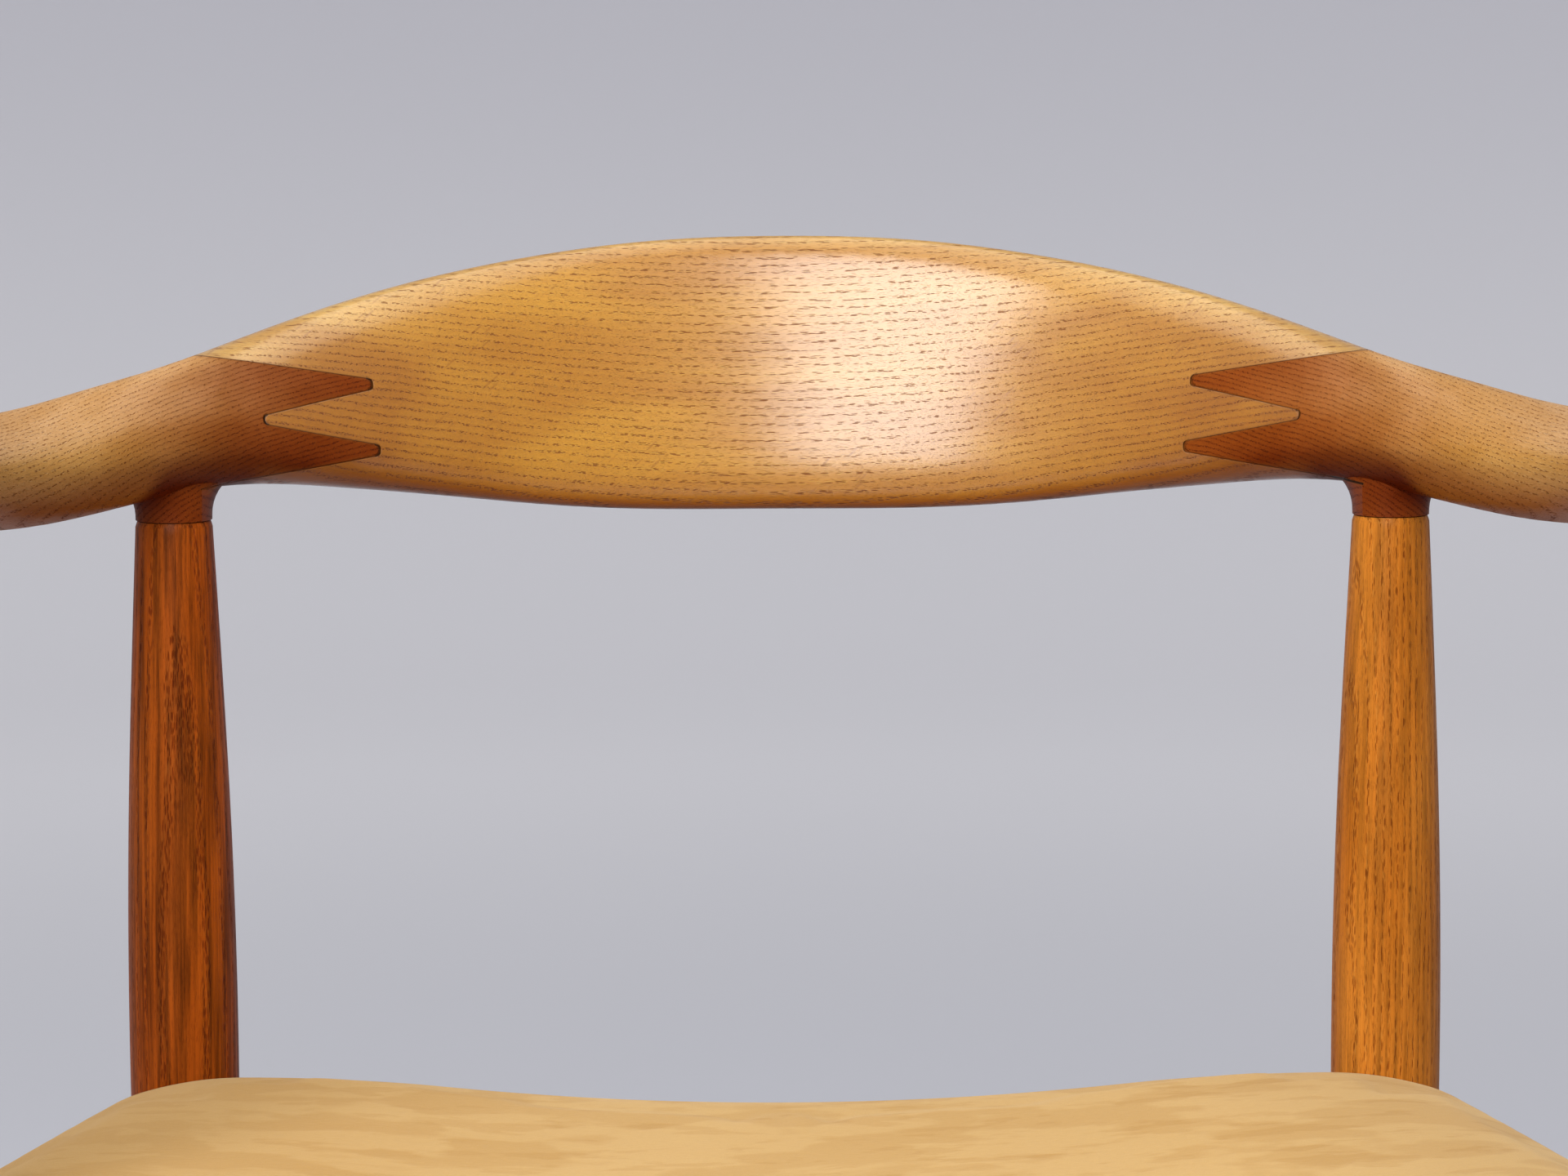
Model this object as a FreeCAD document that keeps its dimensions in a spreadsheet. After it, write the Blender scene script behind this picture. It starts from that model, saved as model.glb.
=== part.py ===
"""Low-backed round armchair: a horseshoe in three carved pieces on four turned legs, with a padded seat.

The chair stands on z = 0, faces -Y and is symmetric about x = 0. Left is the -X side.
All lengths are millimetres. The origin is the middle of the footprint.
"""

import FreeCAD, Part
import math
import os
import Sketcher

V = FreeCAD.Vector
UP = V(0, 0, 1)

# Driving dimensions: name, value, what it is.
SIZES = [
    # Horseshoe, seen from above
    ("back_leg_half_span", 227.3, "from the middle plane to the top of a back leg"),
    ("arm_half_span", 288.0, "from the middle plane to the arm's centre line, where it is widest"),
    ("crest_set_back", 95.0, "from the back leg tops back to the middle of the crest rail"),
    ("arm_reach", 398.0, "from the back leg tops forward to the arm tips"),
    ("arm_tip_inset", 16.0, "how far the arm's centre line turns in towards its tip"),
    # Horseshoe, seen from the front and in section
    ("chair_height", 760.0, "top of the crest rail"),
    ("crest_height", 109.0, "height of the crest rail in the middle"),
    ("crest_thickness", 25.0, "thickness of the crest rail in the middle"),
    ("crest_dish", 4.0, "hollow of the crest rail's front face"),
    ("neck_width", 49.0, "longer width of the horseshoe over the back legs"),
    ("neck_thickness", 38.0, "shorter width of the horseshoe over the back legs"),
    ("neck_centre_height", 686.5, "centre of the horseshoe over the back legs"),
    ("arm_centre_height", 673.0, "centre of the arm at its lowest"),
    ("palm_rise", 7.0, "how far the arm rises again towards its tip"),
    ("palm_width", 65.0, "width of the arm over the front leg"),
    ("palm_thickness", 27.0, "thickness of the arm over the front leg"),
    ("tip_round", 30.0, "length of the rounded end of an arm"),
    # Finger joint between crest rail and arm
    ("joint_place", 164.5, "from the middle plane to the tips of the arm's fingers"),
    ("finger_length", 50.0, "length of a finger"),
    ("finger_pitch", 25.2, "height from one finger to the next"),
    ("finger_tip", 4.0, "height of a finger's blunt tip"),
    ("finger_tip_round", 1.5, "corner radius of a finger's tip"),
    ("middle_finger_tip", 3.2, "height of the crest's middle finger at its tip"),
    ("finger_flare", 7.2, "rise of a finger's outer side over its length"),
    ("joint_height", 689.8, "middle of the finger joint"),
    ("finger_end_gap", 0.5, "gap left in front of a finger's tip"),
    # Collars under the arms, where the legs enter
    ("collar_drop_back", 11.6, "from the neck's underside down to the back leg's shoulder"),
    ("collar_drop_front", 12.0, "from the arm's underside down to the front leg's shoulder"),
    ("collar_spread", 19.0, "how far a collar flares along the arm on each side"),
    ("collar_depth", 12.0, "how far a collar's flare runs up into the arm"),
    # Legs
    ("leg_top_radius", 14.2, "leg at its shoulder under the arm"),
    ("leg_seat_radius", 20.4, "leg at its thickest, at the seat"),
    ("leg_foot_radius", 12.0, "leg at the floor"),
    ("leg_tenon_radius", 9.0, "round tenon on top of a leg"),
    ("leg_tenon_length", 27.0, "length of the round tenon"),
    ("back_leg_rake", 36.0, "how far the back leg's foot stands behind its top"),
    ("front_leg_rake", 10.0, "how far the front leg's foot stands before its top"),
    ("leg_splay", 3.0, "how far each foot stands outside its top"),
    ("front_leg_inset", 58.0, "from the arm's tip back to the front leg's top"),
    ("glue_gap", 0.1, "clearance round a tenon"),
    # Seat frame
    ("seat_back_height", 444.6, "top of the seat over the back legs"),
    ("seat_front_height", 457.0, "top of the seat over the front legs"),
    ("seat_dip_back", 10.2, "hollow of the seat at its back"),
    ("seat_dip_front", 15.0, "hollow of the seat at its front"),
    ("belly_dip", 7.0, "how far the seat's lower edge bows down"),
    ("rail_height", 40.0, "height of a seat rail"),
    ("rail_thickness", 24.0, "thickness of a seat rail"),
    ("rail_tenon_depth", 13.5, "how far a rail's tenon enters the leg"),
    ("rail_tenon_height", 26.0, "height of a rail's tenon"),
    ("rail_tenon_thickness", 9.0, "thickness of a rail's tenon"),
    ("block_side", 52.0, "side of a corner block, from the leg's centre along a rail"),
    ("block_height", 24.0, "height of a corner block"),
    ("block_drop", 12.0, "from the top of the rails down to a corner block"),
    # Upholstery
    ("padding_over_rail", 20.0, "padding over the top of the rails"),
    ("padding_beside_rail", 4.0, "padding on the outer sides of the rails"),
    ("cover_thickness", 1.5, "suede cover"),
    ("cover_lip", 26.0, "how far the cover is turned in under the seat"),
    ("leg_notch_gap", 0.3, "clearance of padding and cover round a leg"),
    ("edge_run", 62.0, "how far in from its front and back the seat begins to round off"),
    ("edge_drop", 26.0, "how far the rounding falls to the front and back faces"),
    ("shoulder_radius", 118.0, "the seat's rounding from its crown towards a side"),
    ("seat_corner_radius", 8.0, "corner between the seat's top and a side face"),
    ("web_width", 50.0, "webbing strap"),
    ("web_thickness", 1.5, "webbing strap"),
    ("web_end_margin", 4.0, "from a strap's end to the rail's outer face"),
    ("hessian_thickness", 0.8, "hessian over the webbing"),
    ("layer_gap", 0.15, "clearance between layers of the upholstery"),
    ("dust_cover_thickness", 0.8, "cloth under the seat"),
    ("dust_cover_margin", 4.0, "from the rails' outer faces in to the dust cover's edge"),
    # Fasteners and feet
    ("tack_head_radius", 3.0, "tack head"),
    ("tack_head_thickness", 0.6, "tack head"),
    ("tack_shank_radius", 0.8, "tack shank"),
    ("tack_shank_length", 11.0, "tack shank"),
    ("tack_point_length", 2.5, "point of a tack"),
    ("tack_inset", 10.0, "from the rail's outer face in to a row of tacks"),
    ("tack_end_margin", 46.0, "from a leg's centre to the first tack under a rail"),
    ("screw_head_radius", 4.0, "wood screw head"),
    ("screw_head_height", 2.4, "wood screw head"),
    ("screw_shank_radius", 2.0, "wood screw shank"),
    ("screw_length", 28.0, "wood screw"),
    ("screw_point_length", 4.0, "point of a wood screw"),
    ("screw_bite", 18.0, "how far a screw goes into the rail"),
    ("screw_place", 33.0, "from the leg's centre along the rail to a screw"),
    ("screw_spacing", 12.0, "height between a block's two screws"),
    ("glide_radius", 10.5, "glide under a foot"),
    ("glide_height", 4.0, "glide under a foot"),
    ("nail_radius", 1.2, "glide's nail"),
    ("nail_length", 18.0, "glide's nail"),
    ("nail_head_radius", 3.5, "head of the glide's nail"),
    ("nail_head_thickness", 0.8, "head of the glide's nail"),
    ("nail_recess", 1.5, "depth of the nail's head in the glide"),
    ("overrun", 200.0, "how far a cutting shape runs past what it cuts"),
]

# Angles in degrees
CREST_LEAN = 8.0
NECK_LEAN = 45.0
PALM_LEAN = 90.0

# Sections from the middle of the crest rail to the back leg. The first value is the place on the way.
# The others run from 1 at the middle to 0 at the leg: centre height, width, thickness and upright stand.
CREST_SHARES = [
    (0.0, 1.0, 1.0, 1.0, 1.0),
    (0.223, 0.947, 0.954, 0.955, 0.973),
    (0.374, 0.868, 0.831, 0.85, 0.919),
    (0.532, 0.763, 0.632, 0.627, 0.838),
    (0.695, 0.574, 0.39, 0.328, 0.676),
    (0.86, 0.31, 0.132, 0.06, 0.378),
    (1.0, 0.0, 0.0, 0.0, 0.0),
]
# Sections from the back leg to the arm's tip: place, height above the arm's lowest centre as a share of the
# neck's, rise of the palm, then width, thickness and lean from 0 at the neck to 1 at the palm.
ARM_SHARES = [
    (0.09, 0.52, 0.0, -0.09, 0.0, 0.29),
    (0.153, 0.25, 0.0, -0.09, 0.0, 0.51),
    (0.226, 0.074, 0.0, 0.0, 0.04, 0.69),
    (0.30, 0.015, 0.0, 0.06, 0.15, 0.78),
    (0.41, 0.0, 0.0, 0.19, 0.31, 0.87),
    (0.576, 0.0, 0.21, 0.5, 0.58, 0.96),
    (0.741, 0.0, 0.57, 0.81, 0.82, 1.0),
    (0.86, 0.0, 0.86, 1.0, 0.95, 1.0),
]
TIP_TURNS = [0, 28, 48, 62, 73, 82]
SECTION_POINTS = 20
SECTION_FULLNESS = 2.4

# Collar sections from the leg's shoulder upwards: height, spread along the arm and narrowing across it.
COLLAR_SHARES = [
    (0.0, 0.0, 0.0),
    (0.17, 0.02, 0.0),
    (0.35, 0.12, 0.0),
    (0.52, 0.36, 0.02),
    (0.68, 0.72, 0.08),
    (0.84, 0.95, 0.25),
    (1.0, 1.0, 0.5),
]

# Leg profile: height as a share of the leg's length, then the radius as a share of the seat radius
# over the foot's radius, or over the shoulder's radius above the thickest place.
LEG_LOWER_SHARES = [(0.0, 0.0), (0.3, 0.52), (0.56, 0.91)]
LEG_THICKEST_SHARE = 0.72
LEG_UPPER_SHARES = [(0.83, 0.78), (0.92, 0.4), (1.0, 0.0)]

# The seat's crown lies this far out from the middle plane, and the hollow takes this much of the way to it.
CROWN_SHARE = 0.82
HOLLOW_SHARE = 0.62
# The seat rounds off to the front and back along a quarter ellipse, in steps of these turns.
EDGE_TURNS = [90, 75, 58, 40, 20, 0]
# The frame dips more than the padding above it.
FRAME_DIP_SHARE = 1.4

LENGTHWISE_STRAP_SHARES = [-0.72, -0.24, 0.24, 0.72]
CROSS_STRAP_SHARES = [0.17, 0.39, 0.61, 0.83]
STRAP_TACK_SHARES = [-0.32, 0.0, 0.32]
BLOCK_CORNER_SHARE = 0.45
# Where the finger cutter opens up, over the fingers' length
CUTTER_OPENING_SHARE = 1.5
# A tack's or a screw's point over its shank, and a screw's slot over its shank's radius
POINT_SHARE = 0.25
SLOT_SHARE = 0.5
TACKS_PER_RAIL = 7
QUARTER_TURN = 90.0

doc = FreeCAD.newDocument("RoundArmchair")
sheet = doc.addObject("Spreadsheet::Sheet", "Sizes")
pieces = []


def fill_sheet():
    """Writes every driving dimension to a cell with an alias."""
    for row, (name, value, note) in enumerate(SIZES, start=1):
        sheet.set(f"A{row}", name)
        sheet.set(f"B{row}", str(value))
        sheet.setAlias(f"B{row}", name)
        sheet.set(f"C{row}", note)
    doc.recompute()


def size(name):
    return float(getattr(sheet, name))


def between(low, high, share):
    return low + (high - low) * share


def piece(node, label):
    """Marks an object as a sub-part of the chair."""
    node.Label = label
    pieces.append(node)
    return node


def shape_node(name, shape):
    """A document object that holds a ready shape."""
    node = doc.addObject("Part::Feature", name)
    node.Shape = shape
    return node


def box_node(name, length, width, height, placement):
    """A box whose sides are expressions of the sheet's cells or worked-out lengths."""
    node = doc.addObject("Part::Box", name)
    for side, value in (("Length", length), ("Width", width), ("Height", height)):
        if isinstance(value, str):
            node.setExpression(side, value)
        else:
            setattr(node, side, value)
    node.Placement = placement
    return node


def pair_node(kind, name, base, tool):
    """A cut or common of two objects."""
    node = doc.addObject(f"Part::{kind}", name)
    node.Base = base
    node.Tool = tool
    return node


def fuse_node(name, nodes):
    node = doc.addObject("Part::MultiFuse", name)
    node.Shapes = nodes
    return node


def mirrored(shape):
    return shape.mirror(V(), V(1, 0, 0))


def moved(point, rotation=None):
    return FreeCAD.Placement(point, rotation or FreeCAD.Rotation())


# Horseshoe seen from above


class Plan:
    """The horseshoe's centre line from above: a half ellipse behind, then arms that run forward."""

    def __init__(self, leg_y):
        self.leg_y = leg_y
        self.half_span = size("arm_half_span")
        leg = size("back_leg_half_span") / self.half_span
        set_back = size("crest_set_back")
        reach = math.sqrt(1 - leg * leg)
        behind = reach * set_back / (1 - reach)
        self.middle_y = leg_y - behind
        self.depth = set_back + behind
        self.leg_angle = math.asin(leg)
        self.straight = size("arm_reach") - behind
        quarter = math.pi / 2 * math.sqrt((self.half_span**2 + self.depth**2) / 2)
        self.bend = quarter * (1 - self.leg_angle / (math.pi / 2))
        self.arm_run = self.bend + self.straight

    def on_ellipse(self, angle):
        point = V(self.half_span * math.sin(angle), self.middle_y + self.depth * math.cos(angle), 0)
        along = V(self.half_span * math.cos(angle), -self.depth * math.sin(angle), 0)
        return point, along.normalize()

    def crest(self, share):
        """Place and direction, from 0 in the middle of the crest rail to 1 over the back leg."""
        return self.on_ellipse(self.leg_angle * share)

    def arm(self, share):
        """Place and direction, from 0 over the back leg to 1 at the arm's tip."""
        run = self.arm_run * share
        if run < self.bend:
            return self.on_ellipse(between(self.leg_angle, math.pi / 2, run / self.bend))
        way = (run - self.bend) / self.straight
        inset = size("arm_tip_inset")
        point = V(self.half_span - inset * way * way, self.middle_y - self.straight * way, 0)
        return point, V(-2 * inset * way / self.straight, -1, 0).normalize()

    def arm_share_from_tip(self, distance):
        return 1 - distance / self.arm_run


def outward(along):
    return V(-along.y, along.x, 0)


def skinned(rows):
    """Solid with a smooth skin through closed rows that all have the same number of points."""
    count = len(rows[0])
    turns = [i / count for i in range(count + 1)]
    rings = []
    for row in rows:
        ring_curve = Part.BSplineCurve()
        ring_curve.interpolate(Points=row, Parameters=turns, PeriodicFlag=True)
        rings.append(ring_curve)
    steps = [0.0]
    for before, after in zip(rows, rows[1:]):
        steps.append(steps[-1] + sum((b - a).Length for a, b in zip(before, after)))
    steps = [step / steps[-1] for step in steps]
    lines = []
    for poles in zip(*[ring_curve.getPoles() for ring_curve in rings]):
        line = Part.BSplineCurve()
        line.interpolate(Points=list(poles), Parameters=steps)
        lines.append(line)
    grid = [list(row) for row in zip(*[line.getPoles() for line in lines])]
    counts = (lines[0].getMultiplicities(), rings[0].getMultiplicities())
    knots = (lines[0].getKnots(), rings[0].getKnots())
    skin = Part.BSplineSurface()
    skin.buildFromPolesMultsKnots(grid, *counts, *knots, False, True, lines[0].Degree, rings[0].Degree)
    halves = []
    for low, high in ((0.0, 0.5), (0.5, 1.0)):
        half = skin.copy()
        half.segment(0.0, 1.0, low, high)
        halves.append(half)
    caps = [Part.Face(Part.Wire([half.uIso(end).toShape() for half in halves])) for end in (0.0, 1.0)]
    shell = Part.makeShell([half.toShape() for half in halves] + caps)
    shell.sewShape()
    return Part.makeSolid(shell)


def section(point, along, half_width, half_thickness, lean, dish=0.0):
    """Closed section of the horseshoe. Its face leans back from upright by the lean, in degrees."""
    turn = math.radians(lean)
    out = outward(along)
    face = UP * math.cos(turn) + out * math.sin(turn)
    back = out * math.cos(turn) - UP * math.sin(turn)
    points = []
    for i in range(SECTION_POINTS):
        angle = 2 * math.pi * i / SECTION_POINTS
        rise = math.copysign(abs(math.sin(angle)) ** (2 / SECTION_FULLNESS), math.sin(angle))
        side = math.copysign(abs(math.cos(angle)) ** (2 / SECTION_FULLNESS), math.cos(angle))
        hollow = dish * (1 - rise * rise)
        points.append(point + face * (half_width * rise) + back * (half_thickness * side + hollow))
    return points


def crest_sections(plan):
    """Sections of the right half, from the middle of the crest rail to the back leg."""
    crest_centre = size("chair_height") - size("crest_height") / 2
    rows = []
    for place, height, width, thickness, upright in CREST_SHARES:
        point, along = plan.crest(place)
        point.z = between(size("neck_centre_height"), crest_centre, height)
        half_width = between(size("neck_width"), size("crest_height"), width) / 2
        half_thickness = between(size("neck_thickness"), size("crest_thickness"), thickness) / 2
        lean = between(NECK_LEAN, CREST_LEAN, upright)
        rows.append(section(point, along, half_width, half_thickness, lean, size("crest_dish") * width))
    return rows


def arm_section(plan, place, height, rise, width, thickness, lean, taper=1.0):
    point, along = plan.arm(place)
    low = size("arm_centre_height")
    point.z = between(low, size("neck_centre_height"), height) + size("palm_rise") * rise
    half_width = between(size("neck_width"), size("palm_width"), width) / 2 * taper
    half_thickness = between(size("neck_thickness"), size("palm_thickness"), thickness) / 2 * math.sqrt(taper)
    return section(point, along, half_width, half_thickness, between(NECK_LEAN, PALM_LEAN, lean))


def arm_sections(plan):
    """Sections of the right arm, from just before the back leg to its rounded tip."""
    rows = [arm_section(plan, *shares) for shares in ARM_SHARES]
    for turn in TIP_TURNS:
        angle = math.radians(turn)
        place = plan.arm_share_from_tip(size("tip_round") * (1 - math.sin(angle)))
        rows.append(arm_section(plan, place, 0, 1, 1, 1, 1, math.cos(angle)))
    return rows


def horseshoe(plan):
    """The whole horseshoe as one solid, before it is parted at the finger joints."""
    right = crest_sections(plan) + arm_sections(plan)
    left = [[V(-p.x, p.y, p.z) for p in row] for row in right[1:]]
    rows = list(reversed(left)) + right
    return skinned(rows)


# Legs


class Leg:
    """Where a right-hand leg stands: its shoulder under the arm and its foot on the floor."""

    def __init__(self, plan, name):
        self.name = name
        if name == "back_leg":
            top, self.along = plan.crest(1.0)
            lean = math.radians(NECK_LEAN)
            upright = size("neck_width") / 2 * math.cos(lean)
            level = size("neck_thickness") / 2 * math.sin(lean)
            self.drop = size("collar_drop_back")
            top.z = size("neck_centre_height") - math.hypot(upright, level) - self.drop
            rake = size("back_leg_rake")
        else:
            top, self.along = plan.arm(plan.arm_share_from_tip(size("front_leg_inset")))
            self.drop = size("collar_drop_front")
            palm = size("arm_centre_height") + size("palm_rise") - size("palm_thickness") / 2
            top.z = palm - self.drop
            rake = -size("front_leg_rake")
        self.top = top
        self.foot = V(top.x + size("leg_splay"), top.y + rake, 0)
        self.length = (self.top - self.foot).Length
        self.axis = (self.top - self.foot) / self.length

    def at(self, z):
        """The point of the leg's axis at a height."""
        return self.foot + self.axis * (z / self.axis.z)

    def placement(self, distance, side):
        """A place along the leg's axis, up from the floor, on the right or turned round to the left."""
        sign = 1 if side == "right" else -1
        point = self.foot + self.axis * distance
        axis = V(sign * self.axis.x, self.axis.y, self.axis.z)
        # The seam of the turned surface faces out of the chair, away from the rails.
        turn = FreeCAD.Rotation(UP, axis).multiply(FreeCAD.Rotation(UP, QUARTER_TURN * (1 - sign)))
        return moved(V(sign * point.x, point.y, point.z), turn)


def leg_blank(leg, side):
    """The turned leg with its round tenon, cut level over its glide."""
    name = f"{leg.name}_{side}"
    foot, seat, top = "Sizes.leg_foot_radius", "Sizes.leg_seat_radius", "Sizes.leg_top_radius"
    profile = [(place, f"{foot} + ({seat} - {foot}) * {share}") for place, share in LEG_LOWER_SHARES]
    profile.append((LEG_THICKEST_SHARE, seat))
    profile += [(place, f"{top} + ({seat} - {top}) * {share}") for place, share in LEG_UPPER_SHARES]
    rings = []
    for i, (place, radius) in enumerate(profile):
        ring = doc.addObject("Part::Circle", f"{name}_ring_{i}")
        ring.setExpression("Radius", radius)
        ring.Placement = leg.placement(leg.length * place, side)
        rings.append(ring)
    turned = doc.addObject("Part::Loft", f"{name}_turned")
    turned.Sections = rings
    turned.Solid = True
    tenon = doc.addObject("Part::Cylinder", f"{name}_tenon")
    tenon.setExpression("Radius", "Sizes.leg_tenon_radius")
    tenon.setExpression("Height", "Sizes.leg_tenon_length")
    tenon.Placement = leg.placement(leg.length, side)
    reach = size("overrun")
    corner = leg.placement(0.0, side).Base + V(-reach / 2, -reach / 2, size("glide_height") - reach)
    floor = box_node(f"{name}_floor", "Sizes.overrun", "Sizes.overrun", "Sizes.overrun", moved(corner))
    return pair_node("Cut", f"{name}_blank", fuse_node(f"{name}_whole", [turned, tenon]), floor)


def collar(leg):
    """The flare under the arm that a leg's shoulder meets, up to where it is buried in the arm."""
    rise = leg.drop + size("collar_depth")
    across = leg.axis.cross(leg.along).normalize()
    level = across.cross(leg.axis)
    radius = size("leg_top_radius")
    rows = []
    for height, spread, narrowing in COLLAR_SHARES:
        centre = leg.top + leg.axis * (rise * height)
        long_axis = level * (radius + size("collar_spread") * spread)
        short_axis = across * (radius * (1 - narrowing))
        turns = [2 * math.pi * i / SECTION_POINTS for i in range(SECTION_POINTS)]
        rows.append([centre + long_axis * math.cos(t) + short_axis * math.sin(t) for t in turns])
    return skinned(rows)


# Finger joint


def rounded_outline(corners):
    """Closed wire through corners (point, radius), with a tangent arc at each corner that has a radius."""
    edges = []
    bends = []
    count = len(corners)
    for i, (point, radius) in enumerate(corners):
        before = (corners[i - 1][0] - point).normalize()
        after = (corners[(i + 1) % count][0] - point).normalize()
        half = before.getAngle(after) / 2
        reach = radius / math.tan(half)
        inwards = (before + after).normalize()
        middle = point + inwards * (radius / math.sin(half) - radius)
        bends.append((point + before * reach, middle, point + after * reach, radius))
    for i, (start, middle, end, radius) in enumerate(bends):
        if radius:
            edges.append(Part.Arc(start, middle, end).toShape())
        edges.append(Part.LineSegment(end, bends[(i + 1) % count][0]).toShape())
    return Part.Wire(edges)


def finger_cutter(plan, tip_gap, root_gap):
    """Everything on the right arm's side of the finger joint, as a prism along the joint's outward line."""
    angle = math.asin(size("joint_place") / size("arm_half_span"))
    origin = plan.on_ellipse(angle)[0]
    origin.z = size("joint_height")
    length = size("finger_length")
    along = plan.on_ellipse(between(angle, plan.leg_angle, length / plan.bend / 2))[1]
    out = outward(along)
    round_tip = size("finger_tip_round")
    half_pitch = size("finger_pitch") / 2
    tip = size("finger_tip") / 2
    root = size("middle_finger_tip") / 2
    outer = half_pitch + tip
    # The outer sides leave the wood before the cutter opens up.
    end = length * CUTTER_OPENING_SHARE
    end_rise = outer + size("finger_flare") / length * (end + tip_gap)
    far = size("arm_reach") + size("overrun")
    high = size("crest_height")
    half = [
        (length + root_gap, root, round_tip),
        (-tip_gap, half_pitch - tip, round_tip),
        (-tip_gap, outer, round_tip),
        (end, end_rise, 0),
        (end, high, 0),
        (far, high, 0),
    ]
    upper = [(origin + along * t + UP * z - out * far, r) for t, z, r in half]
    lower = [(origin + along * t - UP * z - out * far, r) for t, z, r in reversed(half)]
    wire = rounded_outline(upper + lower)
    return Part.Face(wire).extrude(out * (far + size("overrun") / 2))


def build_horseshoe(plan, legs):
    """Crest rail and arms: the horseshoe with its collars, parted at the finger joints."""
    collars = [collar(leg) for leg in legs]
    whole = horseshoe(plan).fuse(collars + [mirrored(flare) for flare in collars])
    crest_cutter = finger_cutter(plan, size("finger_end_gap"), 0.0)
    crest = whole.cut([crest_cutter, mirrored(crest_cutter)])
    arm = whole.common(finger_cutter(plan, 0.0, size("finger_end_gap")))
    radius = size("leg_tenon_radius") + size("glue_gap")
    depth = size("leg_tenon_length") + size("glue_gap")
    arm = arm.cut([Part.makeCylinder(radius, depth, leg.top, leg.axis) for leg in legs])
    piece(shape_node("crest", crest), "crest_rail")
    piece(shape_node("arm_on_the_right", arm), "arm_right")
    piece(shape_node("arm_on_the_left", mirrored(arm)), "arm_left")


# Levels and widths that the seat frame and the upholstery share


class Seat:
    """The seat's levels and widths, from its back legs to its front legs. A lift is a height over a level."""

    def __init__(self, legs):
        back, front = legs
        self.over_frame = size("padding_over_rail") + size("cover_thickness")
        down = self.over_frame + size("rail_height") / 2
        self.back_axis = back.at(size("seat_back_height") - down)
        self.front_axis = front.at(size("seat_front_height") - down)
        self.run = self.back_axis.y - self.front_axis.y
        self.turn = math.atan2(self.front_axis.x - self.back_axis.x, self.run)
        self.half_rail = size("rail_thickness") / 2
        self.half_rail_across = self.half_rail / math.cos(self.turn)
        self.beside = size("padding_beside_rail") + size("cover_thickness")
        self.back_face = self.back_axis.y + self.half_rail
        self.front_face = self.front_axis.y - self.half_rail
        gap = size("layer_gap")
        self.cross_lift = size("web_thickness") + gap
        self.hessian_lift = self.cross_lift + size("web_thickness") + size("tack_head_thickness") + gap
        self.padding_lift = self.hessian_lift + size("hessian_thickness") + gap
        self.lip_lift = -size("cover_thickness")
        self.dust_lift = self.lip_lift - size("tack_head_thickness") - gap

    def share(self, y):
        return (self.back_axis.y - y) / self.run

    def rail_x(self, y):
        """The side rail's centre plane."""
        return between(self.back_axis.x, self.front_axis.x, self.share(y))

    def outer_x(self, y):
        return self.rail_x(y) + self.half_rail_across

    def inner_x(self, y):
        return self.rail_x(y) - self.half_rail_across

    def crown(self, y):
        return between(size("seat_back_height"), size("seat_front_height"), self.share(y))

    def dip(self, y):
        return between(size("seat_dip_back"), size("seat_dip_front"), self.share(y))

    def top_level(self, y):
        return self.crown(y) - self.over_frame

    def top(self, x, y):
        """Height of the frame's top: level over the side rails and hollow between them."""
        hollow = max(0.0, 1 - (x / self.inner_x(y)) ** 2)
        return self.top_level(y) - self.dip(y) * FRAME_DIP_SHARE * hollow

    def flat_top(self, x, y):
        """Height over a side rail, without the step that carries the cross straps."""
        return self.top_level(y)

    def belly(self, x, y):
        """Height of the frame's lower side, which bows down towards the middle."""
        bow = 1 - (x / self.outer_x(y)) ** 2
        return self.top_level(y) - size("rail_height") - size("belly_dip") * bow


def arc_over(level, y, left, right):
    """An arc at y from left to right through the level's height half-way."""
    middle = (left + right) / 2
    points = [V(x, y, level(x, y)) for x in (left, middle, right)]
    return Part.Arc(*points).toShape()


def top_run(seat, y, half_width, lift):
    """Edges of the frame's top at y, from left to right."""
    inner = seat.inner_x(y)

    def level(x, y):
        return seat.top(x, y) + lift

    if half_width <= inner:
        return [arc_over(level, y, -half_width, half_width)]
    flat = seat.top_level(y) + lift
    return [
        Part.LineSegment(V(-half_width, y, flat), V(-inner, y, flat)).toShape(),
        arc_over(level, y, -inner, inner),
        Part.LineSegment(V(inner, y, flat), V(half_width, y, flat)).toShape(),
    ]


def belly_run(seat, y, half_width, lift):
    """Edge of the frame's lower side at y, from left to right."""
    return [arc_over(lambda x, y: seat.belly(x, y) + lift, y, -half_width, half_width)]


def ring(upper, lower):
    """Closed wire from an upper and a lower run of edges, joined at their ends."""
    sides = []
    for pick in (min, max):
        ends = [pick((v.Point for e in run for v in e.Vertexes), key=lambda p: p.x) for run in (upper, lower)]
        sides.append(Part.LineSegment(*ends).toShape())
    return Part.Wire(Part.__sortEdges__(upper + lower + sides))


def layer(seat, inset, upper, lower):
    """Solid between two runs, inside the frame's outer faces by the inset. A run is a function and a lift."""
    rings = []
    for y in (seat.front_face + inset, seat.back_face - inset):
        half_width = seat.outer_x(y) - inset
        rings.append(ring(*[run(seat, y, half_width, lift) for run, lift in (upper, lower)]))
    return Part.makeLoft(rings, True, True)


def arc_round(x, y, z, radius, start, end):
    """An arc in the cross plane at y round a centre, between two angles from upright, in radians."""
    turns = (start, (start + end) / 2, end)
    points = [V(x + radius * math.sin(turn), y, z + radius * math.cos(turn)) for turn in turns]
    return Part.Arc(*points).toShape()


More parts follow.
